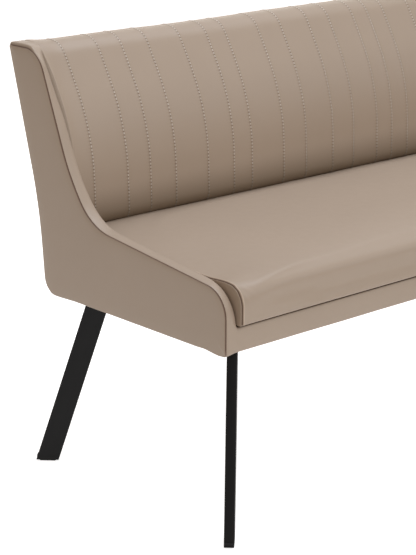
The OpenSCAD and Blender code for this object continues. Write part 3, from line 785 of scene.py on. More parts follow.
def cheek_strip(side):
    """Padded strip along the edge of a cheek, rounded into the open seam and over its inner edge."""
    outer, inner = edge_pair()
    inward = -normals_of(outer), -normals_of(inner)
    y, z = outer[:, 0], outer[:, 1]
    below_cushion = falling(z, *BELOW_CUSHION)
    # The inner edge is squarer along the arm, and flat where the strip runs into the top of the back
    on_arm = rising(y, *ARM_FRONT) * falling(z, *ARM_TOP)
    flatter = np.maximum(ARM_FLATNESS * on_arm, rising(z, *HIGH_UP))
    on_top = rising(y, *CROWN_FRONT) * rising(z, *HIGH_UP)
    edge_from, edge_to = INNER_EDGE
    cross_from, cross_over, power = CROSSING
    rows = []
    for x, deep in STRIP_SECTION:
        share = np.clip((x - cross_from) / cross_over, 0, 1) ** power
        line = outer + (inner - outer) * share
        normal = inward[0] + (inward[1] - inward[0]) * share
        normal /= np.linalg.norm(normal, axis=1, keepdims=True)
        flush = below_cushion * (edge_from < x < edge_to)
        sunk = deep * (1 - flush) + INNER_STEP * flush * (x - edge_from) / (edge_to - edge_from)
        sunk = sunk * np.where((x > edge_from) & (deep < STRIP_SECTION[0][1]), 1 - flatter, 1)
        sunk = sunk - CROWN * on_top * rising(x, *CROWN_ACROSS)
        rows.append(np.column_stack([np.full(len(line), x * MM), line + normal * sunk[:, None] * MM]))
    rows = np.array(rows).transpose(1, 0, 2)
    rows[..., 2] += ripple(rows, *STRIP_WAVES) * STRIP_WAVE_HEIGHT
    # Its first points are painted dark, as seam colour and shade in the open seam
    seam = np.zeros(rows.shape[:2])
    seam[:, :len(STRIP_SHADE)] = STRIP_SHADE
    piece = lofted(f"{side.name}_cheek_edge", side, sagged(rows), seam=seam)
    return covered(piece, 1.0, f"{side.name}_cheek_strip", f"{side.name}_cheek_core")


# Rings of the lining, in mm: how far in from its outline, and how deep below its face
LINING_RINGS = [(9.5, 3.2), (9.8, 0.5), (10.4, 0.0), (12.5, -0.25), (17, -0.6), (26, -1.0)]
# Its back lies this deep, in mm, and its outline reaches this far past the rear of the cheek
LINING_BACK = 9
LINING_PAST_REAR = 4 * MM


def cheek_lining(side):
    """Padded inner face of a cheek, between its strip and the seat."""
    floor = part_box(f"{side.name}_cheek_inner_pad")[0][2]
    outline = [list(c) for c in STRIP_INNER]
    outline[0][1] = outline[1][1] = floor - LINING_RINGS[0][0] * MM
    outline[1][0] = float(rear_y(floor)) + LINING_PAST_REAR
    rings = []
    for depth_in, below in [(LINING_RINGS[0][0], LINING_BACK)] + LINING_RINGS:
        yz = rounded(inset(outline, depth_in * MM), CORNER_POINTS)
        rings.append(np.column_stack([np.full(len(yz), CHEEK_W - below * MM), yz]))
    piece = lofted(f"{side.name}_cheek_lining", side, np.array(rings))
    return covered(piece, 0.9, f"{side.name}_cheek_inner_pad")


# Apron and rear cover

# Section of the apron, in mm, from the hem round the front to the top: how deep each point lies behind
# its face, and how high above the underside
APRON_SECTION = [(14, 0), (5, 0), (3, 0.2), (1.4, 0.9), (0.45, 2), (0.05, 3.6), (-0.1, 10), (-0.15, 20),
                 (-0.1, 31), (0, 40), (0.3, 42.8), (1, 44.4), (2.2, 45.4), (4, 45.8), (14, 45.8)]
APRON_LAP = 8 * MM
# Places along the apron: close together beside the cheek, even along the run, and close at the far end
APRON_NEAR = (48 * MM, 14)
APRON_FAR = (58 * MM, 8 * MM, 90)
APRON_END = np.array([4, 1.6, 0.5, 0]) * MM
# The end tucks in by the first, in mm, over the second; the face starts behind the strip the same way
APRON_TUCK = (1.6, 1.4 * MM)
APRON_BEHIND = (0.4, 18 * MM)
# Less than this, in mm, from the face or the underside, a point belongs to it
APRON_FACE = 5
# The face is calm beside the cheek, and its waves grow over this length
APRON_CALM = 30 * MM
APRON_FACE_WAVES = (0.06, 5.2)
APRON_FACE_WAVE = 0.3 * MM
APRON_HEM_WAVES = (0.09, 1.9)
APRON_HEM_WAVE = 0.4 * MM
# The top of the apron is painted dark as shade under the cushion: less so beside the cheek
APRON_DARK_FROM = (2, 45)
APRON_DARK_LEAST = 0.3
APRON_DARK_RUN = (12 * MM, 30 * MM)


def apron_cover(side):
    """Cover of the front rail, which runs on flush from the strip, with its hem turned under."""
    start, end = CHEEK_W - APRON_LAP, side.end
    near, near_count = APRON_NEAR
    far, short_of, far_count = APRON_FAR
    xs = np.concatenate([np.linspace(start, start + near, near_count),
                         np.linspace(start + far, end - short_of, far_count), end - APRON_END])
    rows = []
    for x in xs:
        tuck = APRON_TUCK[0] * bell(x, APRON_TUCK[1], end)
        behind = APRON_BEHIND[0] * (1 - rising(x, start, APRON_BEHIND[1]))
        rows.append([[x, (y + (tuck + behind if y < APRON_FACE else 0)) * MM, BODY_Z + z * MM]
                     for y, z in APRON_SECTION])
    rows = np.array(rows)
    front = (rows[..., 1] < APRON_FACE * MM) * rising(rows[..., 0], CHEEK_W, APRON_CALM)
    rows[..., 1] += ripple(rows * [0.5, 1, 1], *APRON_FACE_WAVES) * APRON_FACE_WAVE * front
    hem = rows[..., 2] < BODY_Z + APRON_FACE * MM
    rows[..., 2] += ripple(rows * [1, 0, 0], *APRON_HEM_WAVES) * APRON_HEM_WAVE * hem
    # Painted shade on the top of the apron, which lies under the cushion
    dark = np.array([float(y > APRON_DARK_FROM[0] and z > APRON_DARK_FROM[1]) for y, z in APRON_SECTION])
    dark_from, dark_over = APRON_DARK_RUN
    along = APRON_DARK_LEAST + (1 - APRON_DARK_LEAST) * rising(xs, start + dark_from, dark_over)
    piece = lofted(f"{side.name}_apron_cover", side, sagged(rows), seam=dark * along[:, None])
    return covered(piece, 1.0, f"{side.name}_apron")


# Roll of the rear cover into its edges, in mm: distance from the edge, and depth below the face
REAR_ROLL = [(0, 2.4), (0.5, 1.2), (1.6, 0.35), (4, 0), (10, -0.5), (22, -0.8)]
REAR_STEP = 14 * MM
FINE_STEP = 2 * MM
# Rows across the rear cover: places near each end, how deep the end rolls in there in mm,
# how far the even rows between keep from the ends, and their number
REAR_ENDS = np.array([0, 0.3, 1.2, 4, 12]) * MM
REAR_DIPS = np.array([2.0, 1.0, 0.35, 0, 0])
REAR_INSET = 40 * MM
REAR_ROWS = 24
REAR_WAVES = (0.16, 2.4)
REAR_WAVE = 0.6 * MM
REAR_TOP_BAND = 40 * MM


def rear_cover(name, node, side, start, end, mitre):
    """Cover of the rear of the back, with rounded edges; at the corner it ends on the mitre."""
    line = (arc(CHEEK[0], CHEEK[1], CHEEK[2], 8) + arc(CHEEK[1], CHEEK[2], CHEEK[3], 14)
            + [[REAR_Y, CHEEK_TOP]])
    path, along = spaced(line, FINE_STEP)
    steps, deep = zip(*REAR_ROLL)
    at = graded(0, along[-1], steps, steps, REAR_STEP)
    path = np.stack([np.interp(at, along, path[:, k]) for k in (0, 1)], axis=1)
    normal = normals_of(path)
    face = -np.interp(np.minimum(at, along[-1] - at) / MM, steps, deep)
    section = np.concatenate([path, path[::-1]])
    outs = np.concatenate([normal, normal[::-1]])
    out_by = np.concatenate([face, np.full(len(path), -COVER_T / MM)])
    front = np.concatenate([np.ones(len(path)), np.zeros(len(path))])
    between = np.linspace(start + REAR_INSET, end - REAR_INSET, REAR_ROWS)
    xs = np.concatenate([start + REAR_ENDS, between, (end - REAR_ENDS)[::-1]])
    rows = []
    for x, dip in zip(xs, np.concatenate([REAR_DIPS, np.zeros(REAR_ROWS), REAR_DIPS[::-1]])):
        yz = section + outs * (out_by - dip * front)[:, None] * MM
        turned = (x - start) / (end - start) * (yz[:, 0] - SEAT_DEPTH) if mitre else 0
        rows.append(np.column_stack([np.full(len(yz), x) + turned, yz]))
    rows = np.array(rows)
    rows[..., 1] += ripple(rows, *REAR_WAVES) * REAR_WAVE * front
    rows[..., 2] += top_line(xs)[:, None] * rising(rows[..., 2], CHEEK_TOP - REAR_TOP_BAND, REAR_TOP_BAND)
    return covered(lofted(name, side, rows), 1.0, node)


# The top of a back beside its cheek: how high it rises, where that ends and over what length, and its start
TOP_RISE = 3.6 * MM
TOP_RISE_END = (82 * MM, 46 * MM)
TOP_RISE_START = (0, 30 * MM)
# Further along it sags: how far, the middle of the sag, and half its width
TOP_SAG = 1.6 * MM
TOP_SAG_MIDDLE = 473 * MM
TOP_SAG_HALF = 155 * MM


def top_line(xs):
    """How far the top of a back rises beside its cheek and sags further along, at each place."""
    rise = falling(xs, *TOP_RISE_END) * rising(xs, *TOP_RISE_START)
    return TOP_RISE * rise - TOP_SAG * np.exp(-(((xs - TOP_SAG_MIDDLE) / TOP_SAG_HALF) ** 6))


# Back pads

# Widths of the stitched channels in mm, from the start of a pad; a long pad repeats them, and its last
# channel is at least the given width
CHANNELS = [54, 89, 61, 70, 92, 75, 54, 97, 70, 86, 68, 79, 51]
CHANNEL_LEAST = 40 * MM
# How many channels of a corner pad turn towards its mitre
FAN_CHANNELS = 3


def stitch_lines(start, end):
    """Places of the stitched channels between the two ends of a back pad, with both ends."""
    lines, i = [start], 0
    while lines[-1] + CHANNELS[i % len(CHANNELS)] * MM <= end - CHANNEL_LEAST:
        lines.append(lines[-1] + CHANNELS[i % len(CHANNELS)] * MM)
        i += 1
    return lines + [end]


BACK_ARC_POINTS = (20, 24, 20, 8)
BACK_STEP = 6 * MM


def back_path():
    """Front, top and rear of the back pad in the y-z plane, from its foot, with its distances."""
    points = [np.array(BACK[0][:2])]
    for i, n in enumerate(BACK_ARC_POINTS, 1):
        points += arc(BACK[i - 1], BACK[i], BACK[i + 1], n)
    points.append(np.array(BACK[-1][:2]))
    return spaced(points, BACK_STEP)


# Rows beside a stitch line and beside a cheek, in mm from it
LINE_STEPS = [0.0, 0.7, 1.5, 2.6, 4.2, 6.5, 10, 15, 21]
END_STEPS = [0.0, 1.0, 2.4, 4.2, 6.5, 9.5, 13, 17, 21, 26, 31]
# How far the rows of one line keep from the next line, and from its rows
LINE_CLEAR = 22 * MM
ROW_CLEAR = 2 * MM


def pad_rows(lines, at_cheek):
    """Places of the rows of a back pad, close together at each stitch line and at the cheek."""
    xs = []
    for i, (a, b) in enumerate(zip(lines, lines[1:])):
        first = END_STEPS if at_cheek and i == 0 else LINE_STEPS
        left = [a + s * MM for s in first if s * MM < b - a - LINE_CLEAR]
        right = [b - s * MM for s in LINE_STEPS[1:][::-1] if b - s * MM > left[-1] + ROW_CLEAR]
        xs += left + right
    xs.append(lines[-1])
    return np.array(xs)


def fanned(points, start, end):
    """Points of a corner pad, whose sections turn from square on to the mitre at its end."""
    w = np.clip((points[..., 0] - start) / (end - start), 0, None)
    moved = np.array(points)
    moved[..., 0] += w * (points[..., 1] - SEAT_DEPTH)
    return moved


# The crease between back and seat, which flattens the channels and is painted in shade: where it starts to
# fade, and the height over which it does
CREASE = (DECK_Z + 84 * MM, 88 * MM)
# The top of the pad, where channels, folds and the end roll fade, and how much of each is lost there
OVER_TOP = (BACK_TOP - 70 * MM, 66 * MM)
CHANNEL_LOSS = 0.75
FOLD_LOSS = 0.6
ROLL_LOSS = 0.92
# Share of the depth of a channel that is lost in the crease
CREASE_LOSS = 0.55
# A channel dips sharply at its thread and softly around it: share and width of each dip
SHARP_DIP = (0.68, 2.6 * MM)
SOFT_DIP = (0.32, 15 * MM)
# The end at a cheek rolls away over a width, by a power of the distance, and tucks in at the very end
ROLL_WIDTH = 42 * MM
ROLL_POWER = 2.2
END_TUCK = (1.5 * MM, 4 * MM)
# The thread pulls unevenly, and shallow folds lie between the channels
TENSION = 0.22
TENSION_WAVES = (0.045, 6.3)
FOLD_HEIGHT = 0.8 * MM
FOLD_WAVES = (0.12, 1.3)
FOLD_STRETCH = [1, 1, 0.45]
FOLD_CLEAR = 12 * MM


def crease_and_shade_at(points):
    """Share of the crease between back and seat at each point, 1 at the foot of the back; it also weighs the
    shade painted there.
    """
    return 1 - rising(points[..., 2], *CREASE)


def nearest(xs, lines):
    """How far each place is from the line nearest to it."""
    return np.min(np.abs(xs[:, None] - np.array(lines)[None, :]), axis=1)


def back_surface(xs, lines, path, normal, at_cheek):
    """Points of the padded face of a back: rows at the given places along the path."""
    away = nearest(xs, lines[1:] if at_cheek else lines)
    from_cheek = xs - lines[0] if at_cheek else np.full(len(xs), np.inf)
    over_top = rising(path[:, 1], *OVER_TOP)
    depth = sizes().channel_depth * (1 - CHANNEL_LOSS * over_top)
    depth *= 1 - CREASE_LOSS * crease_and_shade_at(path[:, [0, 0, 1]])
    dip = SHARP_DIP[0] * np.exp(-away / SHARP_DIP[1]) + SOFT_DIP[0] * bell(away, SOFT_DIP[1])
    roll = (sizes().end_roll * np.clip(1 - from_cheek / ROLL_WIDTH, 0, 1) ** ROLL_POWER
            + END_TUCK[0] * np.exp(-from_cheek / END_TUCK[1]))
    grid = np.empty((len(xs), len(path), 3))
    grid[..., 0] = xs[:, None]
    grid[..., 1:] = path[None]
    tension = 1 + TENSION * ripple(grid, *TENSION_WAVES)
    fold = ripple(grid * FOLD_STRETCH, *FOLD_WAVES) * FOLD_HEIGHT * (1 - np.exp(-away / FOLD_CLEAR))[:, None]
    fold *= 1 - FOLD_LOSS * over_top
    rolled = roll[:, None] * (1 - ROLL_LOSS * over_top[None, :])
    sunk = dip[:, None] * depth[None, :] * tension + rolled + fold
    grid[..., 1:] -= normal[None] * sunk[..., None]
    grid[..., 2] += top_line(xs)[:, None] * over_top[None]
    return grid


# Width of the puckers at the thread, and the height over which shade is painted at the foot of the pad
PUCKER_WIDTH = 2.4 * MM
FOOT_SHADE = 5 * MM


def back_pad(name, side, start, end, fans, *nodes):
    """Channelled pad of the back with its thread, from its foot over the top to the rear cover."""
    lines, at_cheek = stitch_lines(start, end), not fans
    path, along = back_path()
    normal = normals_of(path)
    fan_from = lines[max(len(lines) - 1 - FAN_CHANNELS, 0)]

    def placed(rows):
        return fanned(rows, fan_from, end) if fans else rows

    xs = pad_rows(lines, at_cheek)
    rear = np.empty((len(xs), len(BACK_INSIDE), 3))
    rear[..., 0] = xs[:, None]
    rear[..., 1:] = BACK_INSIDE
    rows = placed(np.concatenate([back_surface(xs, lines, path, normal, at_cheek), rear], axis=1))
    pucker = np.zeros(rows.shape[:2])
    pucker[:, :len(path)] = np.exp(-nearest(xs, lines[1:-1]) / PUCKER_WIDTH)[:, None]
    run = np.full(rows.shape[:2], along[-1])
    run[:, :len(path)] = along[None]
    # Painted shade in the crease behind the seat, darkest at the foot of the pad
    piece = lofted(name, side, rows, pucker=pucker, along=run, crease=crease_and_shade_at(rows),
                   seam=falling(rows[..., 2], PAD_FOOT, FOOT_SHADE))
    covered(piece, 0.9, *nodes)

    outs = np.column_stack([np.zeros(len(path)), normal])
    paths = [placed(back_surface(np.array([line]), lines, path, normal, at_cheek))[0]
             for line in lines[1:-1]]
    return stitching(name + "_thread", side, paths, outs, along)


# Stitching

# Rings of one stitch: place along it from -1 to 1, and height above the leather and radius, both as
# shares of the radius of the thread
STITCH_RINGS = [(-1.0, -1.0, 0.7), (-0.75, 0.3, 0.95), (0.0, 0.85, 1.0), (0.75, 0.3, 0.95),
                (1.0, -1.0, 0.7)]
STITCH_SIDES = 6


def stitching(name, side, paths, outs, at):
    """Rows of single stitches that dip into the leather at both ends."""
    pitch, show, radius = sizes().stitch_pitch, sizes().stitch_length, sizes().thread_radius
    turns = 2 * math.pi * np.arange(STITCH_SIDES) / STITCH_SIDES
    points, faces = [], []
    for path in paths:
        for c in np.arange(pitch, at[-1] - pitch / 2, pitch):
            places = [c - show / 2, c, c + show / 2]
            where = np.array([np.interp(places, at, path[:, k]) for k in range(3)]).T
            up = unit(np.array([np.interp(c, at, outs[:, k]) for k in range(3)]))
            t = unit(where[2] - where[0])
            b = np.cross(t, up)
            round_it = np.cos(turns)[:, None] * b + np.sin(turns)[:, None] * up
            rings = [where[1] + t * s * show / 2 + up * high * radius + radius * wide * round_it
                     for s, high, wide in STITCH_RINGS]
            made, made_faces = loft(np.array(rings))
            faces += [tuple(len(points) + i for i in face) for face in made_faces]
            points += list(made)
    points = side.place(np.array(points))
    # The thread takes the painted shade of the crease behind the seat
    piece = make_piece(name, points, faces, side.swapped, {"crease": crease_and_shade_at(points)})
    outward(piece, merge=False)
    return settle(piece, look_of("thread"), "leatherette")


# Seat cushions

# Grid lines of a cushion beside its ends, its front, rear and top edges, and its underside, in mm from each
EDGE_STEPS = [0, 1.0, 2.0, 3.0, 4.2, 5.6, 7.4, 10, 14, 20]
FRONT_STEPS = [0, 2.5, 5, 8, 12, 17, 23]
UNDER_STEPS = [0, 2, 4, 7]
CUSHION_STEP = 9 * MM
CUSHION_RISE_STEP = 8 * MM
# Underside and top of a cushion above the seat frame
CUSHION_LEVELS = np.array([2.2, 78]) * MM
# Radii of its edges, apart from the nose: lower front, underside, rear, and rear of the top
LOW_FRONT_R = 6 * MM
UNDER_R = 5 * MM
REAR_R = 3 * MM
TOP_REAR_R = 5 * MM
# The cover gathers at a free end over this width, and is drawn down behind the nose
EAR_WIDTH = 64 * MM
EAR_DRAWN = 3.2 * MM
EAR_DRAWN_FROM = (40 * MM, 50 * MM)
# The top is crowned and rises to the rear, and the front and rear faces bulge at their foot
CROWN_HEIGHT = 5 * MM
REAR_RISE = 11 * MM
FOOT_BULGE = 1.6 * MM
# What the simulation leaves in place beside the underside, the ends and the rear, and the length
# over which it then reaches its full effect
HELD_UNDER = 4 * MM
HELD_END = 9 * MM
HELD_REAR = 10 * MM
SWELL_EASE = 190 * MM


def box_grid(xs, ys, zs):
    """Points and outward faces of a closed box with grid lines at the given places."""
    index, points, faces = {}, [], []

    def add_face(*corners):
        for i, j, k in corners:
            if (i, j, k) not in index:
                index[i, j, k] = len(points)
                points.append((xs[i], ys[j], zs[k]))
        faces.append([index[corner] for corner in corners])

    nx, ny, nz = len(xs) - 1, len(ys) - 1, len(zs) - 1
    for i in range(nx):
        for j in range(ny):
            add_face((i, j, nz), (i + 1, j, nz), (i + 1, j + 1, nz), (i, j + 1, nz))
            add_face((i, j, 0), (i, j + 1, 0), (i + 1, j + 1, 0), (i + 1, j, 0))
    for i in range(nx):
        for k in range(nz):
            add_face((i, 0, k), (i + 1, 0, k), (i + 1, 0, k + 1), (i, 0, k + 1))
            add_face((i, ny, k), (i, ny, k + 1), (i + 1, ny, k + 1), (i + 1, ny, k))
    for j in range(ny):
        for k in range(nz):
            add_face((0, j, k), (0, j, k + 1), (0, j + 1, k + 1), (0, j + 1, k))
            add_face((nx, j, k), (nx, j + 1, k), (nx, j + 1, k + 1), (nx, j, k + 1))
    return np.array(points), faces


def softened_box(points, low, high, radii_low, radii_high):
    """Points of a box with its edges rounded: a radius for each of its six sides, in metres."""
    core = np.clip(points, low + radii_low, high - radii_high)
    off = points - core
    radii = np.where(off < 0, radii_low, radii_high)
    q = off / radii
    size = np.linalg.norm(q, axis=1, keepdims=True)
    reach = np.max(np.abs(q), axis=1, keepdims=True)
    scale = np.where(size > SMALLEST, reach / np.maximum(size, SMALLEST), 1)
    return core + radii * q * scale


CLOTH_SETTINGS = {
    "quality": 6,
    "mass": 0.3,
    "tension_stiffness": 14,
    "compression_stiffness": 14,
    "shear_stiffness": 8,
    "bending_stiffness": 1.2,
    "use_pressure": True,
    "uniform_pressure_force": 4,
    "vertex_group_mass": "held",
}
CLOTH_FRAMES = 20


def swell(piece, held, share, limit):
    """Blow a pad up with the cloth simulation; each point takes its share of the move, up to the limit."""
    mesh = piece.data
    group = piece.vertex_groups.new(name=CLOTH_SETTINGS["vertex_group_mass"])
    group.add([int(i) for i in np.nonzero(held)[0]], 1.0, "REPLACE")
    start = vectors(mesh.vertices, "co")
    only(piece)
    cloth = piece.modifiers.new("Cloth", "CLOTH")
    for key, value in CLOTH_SETTINGS.items():
        setattr(cloth.settings, key, value)
    cloth.settings.effector_weights.gravity = 0
    cloth.collision_settings.use_collision = False
    cloth.point_cache.frame_start = 1
    cloth.point_cache.frame_end = CLOTH_FRAMES
    for step in range(1, CLOTH_FRAMES + 1):
        bpy.context.scene.frame_set(step)
    seen = piece.evaluated_get(bpy.context.evaluated_depsgraph_get())
    moved = vectors(seen.data.vertices, "co") - start
    far = np.linalg.norm(moved, axis=1, keepdims=True)
    capped = moved * np.minimum(1, limit / np.maximum(far, SMALLEST)) * share[:, None]
    piece.modifiers.remove(cloth)
    mesh.vertices.foreach_set("co", (start + capped).ravel())
    mesh.update()
    bpy.context.scene.frame_set(1)


def seat_cushion(name, side, low_xy, high_xy, ears, *nodes):
    """Boxed seat cushion: top and front in one panel, a seam and a welt at each end."""
    low = np.array([*low_xy, DECK_Z + CUSHION_LEVELS[0]])
    high = np.array([*high_xy, DECK_Z + CUSHION_LEVELS[1]])
    flat, faces = box_grid(graded(low[0], high[0], EDGE_STEPS, EDGE_STEPS, CUSHION_STEP),
                           graded(low[1], high[1], FRONT_STEPS, FRONT_STEPS, CUSHION_STEP),
                           graded(low[2], high[2], UNDER_STEPS, FRONT_STEPS, CUSHION_RISE_STEP))
    middle, half = (low + high) / 2, (high - low) / 2
    u = np.clip((flat - middle) / half, -1, 1)
    up = np.clip((flat[:, 2] - low[2]) / (high[2] - low[2]), 0, 1)
    # The front edge is rounder at the free end of a cushion, where its cover gathers
    at_ear = np.zeros(len(flat))
    for end, eared in zip((low[0], high[0]), ears):
        if eared:
            at_ear = np.maximum(at_ear, bell(flat[:, 0], EAR_WIDTH, end))
    nose = sizes().cushion_nose_r + (sizes().cushion_ear_r - sizes().cushion_nose_r) * at_ear
    # Only the long edges are rounded here: the box counts as 4 m wide, so its ends stay far away
    ones = np.ones(len(flat))
    radii_low = np.stack([ones, np.where(flat[:, 2] > middle[2], nose, LOW_FRONT_R), UNDER_R * ones], axis=1)
    radii_high = np.stack([ones, REAR_R * ones, np.where(u[:, 1] < 0, nose, TOP_REAR_R)], axis=1)
    points = softened_box(flat * [0, 1, 1], np.array([-2, *low[1:]]), np.array([2, *high[1:]]),
                          radii_low, radii_high)
    points[:, 0] = flat[:, 0]
    crown = CROWN_HEIGHT * (1 - u[:, 0] ** 6) * (1 - u[:, 1] ** 2)
    drawn = at_ear * rising(points[:, 1], *EAR_DRAWN_FROM)
    points[:, 2] += up * (REAR_RISE * (points[:, 1] / SEAT_DEPTH) + crown - EAR_DRAWN * drawn)
    bulge = FOOT_BULGE * (1 - u[:, 0] ** 4) * np.abs(u[:, 1]) ** 3 * (1 - up)
    points[:, 1] += np.where(u[:, 1] < 0, bulge, -bulge)
    piece = make_piece(name, side.place(points), faces, side.swapped)
    outward(piece)
    ends = np.minimum(points[:, 0] - low[0], high[0] - points[:, 0])
    held = ((points[:, 2] < low[2] + HELD_UNDER) | (ends < HELD_END)
            | (points[:, 1] > high[1] - HELD_REAR))
    swell(piece, held, rising(ends, HELD_END, SWELL_EASE), sizes().cushion_swell)
    finish_cushion(piece, side, low, high)
    return covered(piece, 0.85, *nodes)


# Across the end of a cushion: a sewn groove, its dark line of seam colour and painted shade, the painted
# highlight beside it and the welt;
# for each, how far it is from the end and how wide
GROOVE = (2.2 * MM, 1.1 * MM)
DARK_LINE = (2.9 * MM, 1.4 * MM)
HIGHLIGHT_BAND = (5.8 * MM, 2.0 * MM)
WELT = (6.0 * MM, 2.0 * MM)
GROOVE_DEPTH = 1.5 * MM
WELT_HEIGHT = 2.3 * MM
END_FACING = 1.2
# The seam and the welt end above the underside, which is painted dark as shade where it lies on the seat
# frame
SEAM_FOOT = 3 * MM
DARK_FOOT = 0.8 * MM
# Small folds run in from the seam at an upper front corner: how far they lie from the end and
# from the front, and how far they spread
PUCKER_END = (16 * MM, 22 * MM)
PUCKER_FRONT = (18 * MM, 24 * MM)
PUCKER_WAVE = 7.5 * MM
PUCKER_HEIGHT = 0.55 * MM
# Shallow unevenness of the top, away from the ends
SOFT_WAVES = (0.1, 4.4)
SOFT_HEIGHT = 1.1 * MM
SOFT_EASE = 60 * MM


def finish_cushion(piece, side, low, high):
    """Press the end seams, welts and small folds of a cushion into its mesh."""
    only(piece)
    smooth = piece.modifiers.new("Subdivision", "SUBSURF")
    smooth.levels = smooth.render_levels = 1
    bpy.ops.object.modifier_apply(modifier=smooth.name)
    mesh = piece.data
    co, out = vectors(mesh.vertices, "co"), vectors(mesh.vertices, "normal")
    own = side.own(co)
    sideways, upward = out[:, 1 if side.swapped else 0], out[:, 2]
    ends = np.minimum(own[:, 0] - low[0], high[0] - own[:, 0])
    groove, dark_line, highlight_band = (bell(ends, width, at) for at, width in (GROOVE, DARK_LINE, HIGHLIGHT_BAND))
    welt = bell(ends, WELT[1], WELT[0]) * np.clip(1 - np.abs(sideways) * END_FACING, 0, 1)
    outside = own[:, 2] > low[2] + SEAM_FOOT
    corner = (bell(ends, PUCKER_END[1], PUCKER_END[0])
              * bell(own[:, 1] - low[1], PUCKER_FRONT[1], PUCKER_FRONT[0]) * (upward > 0.05))
    puckers = np.sin((own[:, 0] * 0.8 + own[:, 1]) / PUCKER_WAVE * math.pi) * corner * PUCKER_HEIGHT
    soft = ripple(own * [0.7, 1, 1], *SOFT_WAVES) * SOFT_HEIGHT
    soft *= rising(ends, 0, SOFT_EASE) * np.clip(upward, 0, 1)
    move = (WELT_HEIGHT * welt - GROOVE_DEPTH * groove) * outside + puckers + soft
    mesh.vertices.foreach_set("co", (co + out * move[:, None]).ravel())
    # Painted shade on the dark seam line and on the underside; a painted highlight on the band beside the
    # seam
    seam = np.maximum(dark_line * outside, own[:, 2] < low[2] + DARK_FOOT)
    add_attributes(mesh, {"seam": seam, "rubbed": highlight_band * outside})
    mesh.update()
    mesh.shade_smooth()


# Underside

# Edges sharper than this stay sharp
SMOOTH_ANGLE = math.radians(35)


def cloth_panel(name, low, high, cuts, sag, thickness):
    """A thin panel between two corners that sags in the middle along one or both of its directions."""
    wide, deep = high[0] - low[0], high[1] - low[1]
    bpy.ops.object.select_all(action="DESELECT")
    bpy.ops.mesh.primitive_grid_add(x_subdivisions=cuts[0], y_subdivisions=cuts[1], size=2)
    panel = bpy.context.object
    for v in panel.data.vertices:
        u, w = v.co.x, v.co.y
        drop = max(sag) * (1 - u ** 2 * (sag[0] > 0)) * (1 - w ** 2 * (sag[1] > 0))
        v.co = (low[0] + wide * (u + 1) / 2, low[1] + deep * (w + 1) / 2, high[2] - drop)
    solid = panel.modifiers.new("Solidify", "SOLIDIFY")
    solid.thickness = thickness
    solid.offset = -1
    bpy.ops.object.modifier_apply(modifier=solid.name)
    panel.name = panel.data.name = name
    only(panel)
    bpy.ops.object.shade_smooth_by_angle(angle=SMOOTH_ANGLE)
    return panel


STRAP_WIDTH = 60 * MM
STRAP_SPACING = 150 * MM
STRAP_THICKNESS = 2 * MM
STRAP_SAG = 5 * MM
# Points along and across one strap
STRAP_CUTS = (9, 3)


def webbing(name, swapped):
    """Straps under the seat foam that sag a little between the front and the rear rail."""
    node = f"{name}_webbing"
    low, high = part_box(node)
    across = 1 if swapped else 0
    run = high[across] - low[across] - STRAP_WIDTH
    count = max(math.ceil(run / STRAP_SPACING), 1)
    cuts, sag = (STRAP_CUTS, (STRAP_SAG, 0)) if swapped else (STRAP_CUTS[::-1], (0, STRAP_SAG))
    straps = []
    for i in range(count + 1):
        first, last = np.array(low), np.array(high)
        first[across] = low[across] + run * i / count
        last[across] = first[across] + STRAP_WIDTH
        straps.append(cloth_panel(f"{name}_strap", first, last, cuts, sag, STRAP_THICKNESS))
    only(*straps)
    bpy.ops.object.join()
    straps[0].name = straps[0].data.name = f"{name}_straps"
    return settle(straps[0], look_of("webbing"), "webbing", node)


DUST_CUTS = (24, 24)
DUST_SAG = (3 * MM, 3 * MM)
DUST_THICKNESS = 1 * MM


def dust_cloth(name):
    """Cloth stretched under the seat frame, stapled along its rim and slack in the middle."""
    node = f"{name}_dust_cover"
    low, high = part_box(node)
    cloth = cloth_panel(f"{name}_dust_cloth", low, high, DUST_CUTS, DUST_SAG, DUST_THICKNESS)
    return settle(cloth, look_of("dust"), "dust_cloth", node)


# Legs

TUBE_WIDTH = 45 * MM
TUBE_THICKNESS = 20 * MM
TUBE_LEAN = math.radians(18)
# The tube is open at its foot: thickness of its wall, and how deep the opening goes
TUBE_WALL = 1.5 * MM
TUBE_OPENING = 9 * MM
TUBE_SEGMENTS = 3
FACING_DOWN = -0.9
GLIDE_T = 3.5 * MM
PLATE_W = 60 * MM
PLATE_T = 4 * MM
PLATE_CORNER_R = 5 * MM
PLATE_SEGMENTS = 4
# Which way each leg leans out, along the diagonal of its corner
LEG_TOWARD = {
    "leg_long_front": (-1, -1),
    "leg_long_rear": (-1, 1),
    "leg_short_front": (-1, -1),
    "leg_short_rear": (1, -1),
    "leg_corner_inner": (-1, -1),
    "leg_corner_outer": (1, 1),
    "leg_corner_rear": (-1, 1),
    "leg_corner_side": (1, -1),
}


def block(size, height):
    """A box of the given size, its middle at the given height."""
    bpy.ops.object.select_all(action="DESELECT")
    bpy.ops.mesh.primitive_cube_add(size=1, location=(0, 0, height), scale=size)
    bpy.ops.object.transform_apply(location=True, rotation=True, scale=True)
    return bpy.context.object


def pick(piece, kind, wanted):
    """Select those edges or faces of a piece that pass the test, and nothing else of it."""
    only(piece)
    kinds = ("vertices", "edges", "polygons")
    bpy.context.tool_settings.mesh_select_mode = [kind == each for each in kinds]
    for each in kinds:
        for part in getattr(piece.data, each):
            part.select = kind == each and wanted(part)


def pick_upright(piece):
    """Select the edges of a piece that run from its underside to its top."""
    verts = piece.data.vertices
    heights = [v.co.z for v in verts]
    least = (max(heights) - min(heights)) / 2
    pick(piece, "edges", lambda e: abs(verts[e.vertices[0]].co.z - verts[e.vertices[1]].co.z) > least)


def shaped(operator, **settings):
    """Run one operator on the selection in edit mode."""
    bpy.ops.object.mode_set(mode="EDIT")
    operator(**settings)
    bpy.ops.object.mode_set(mode="OBJECT")


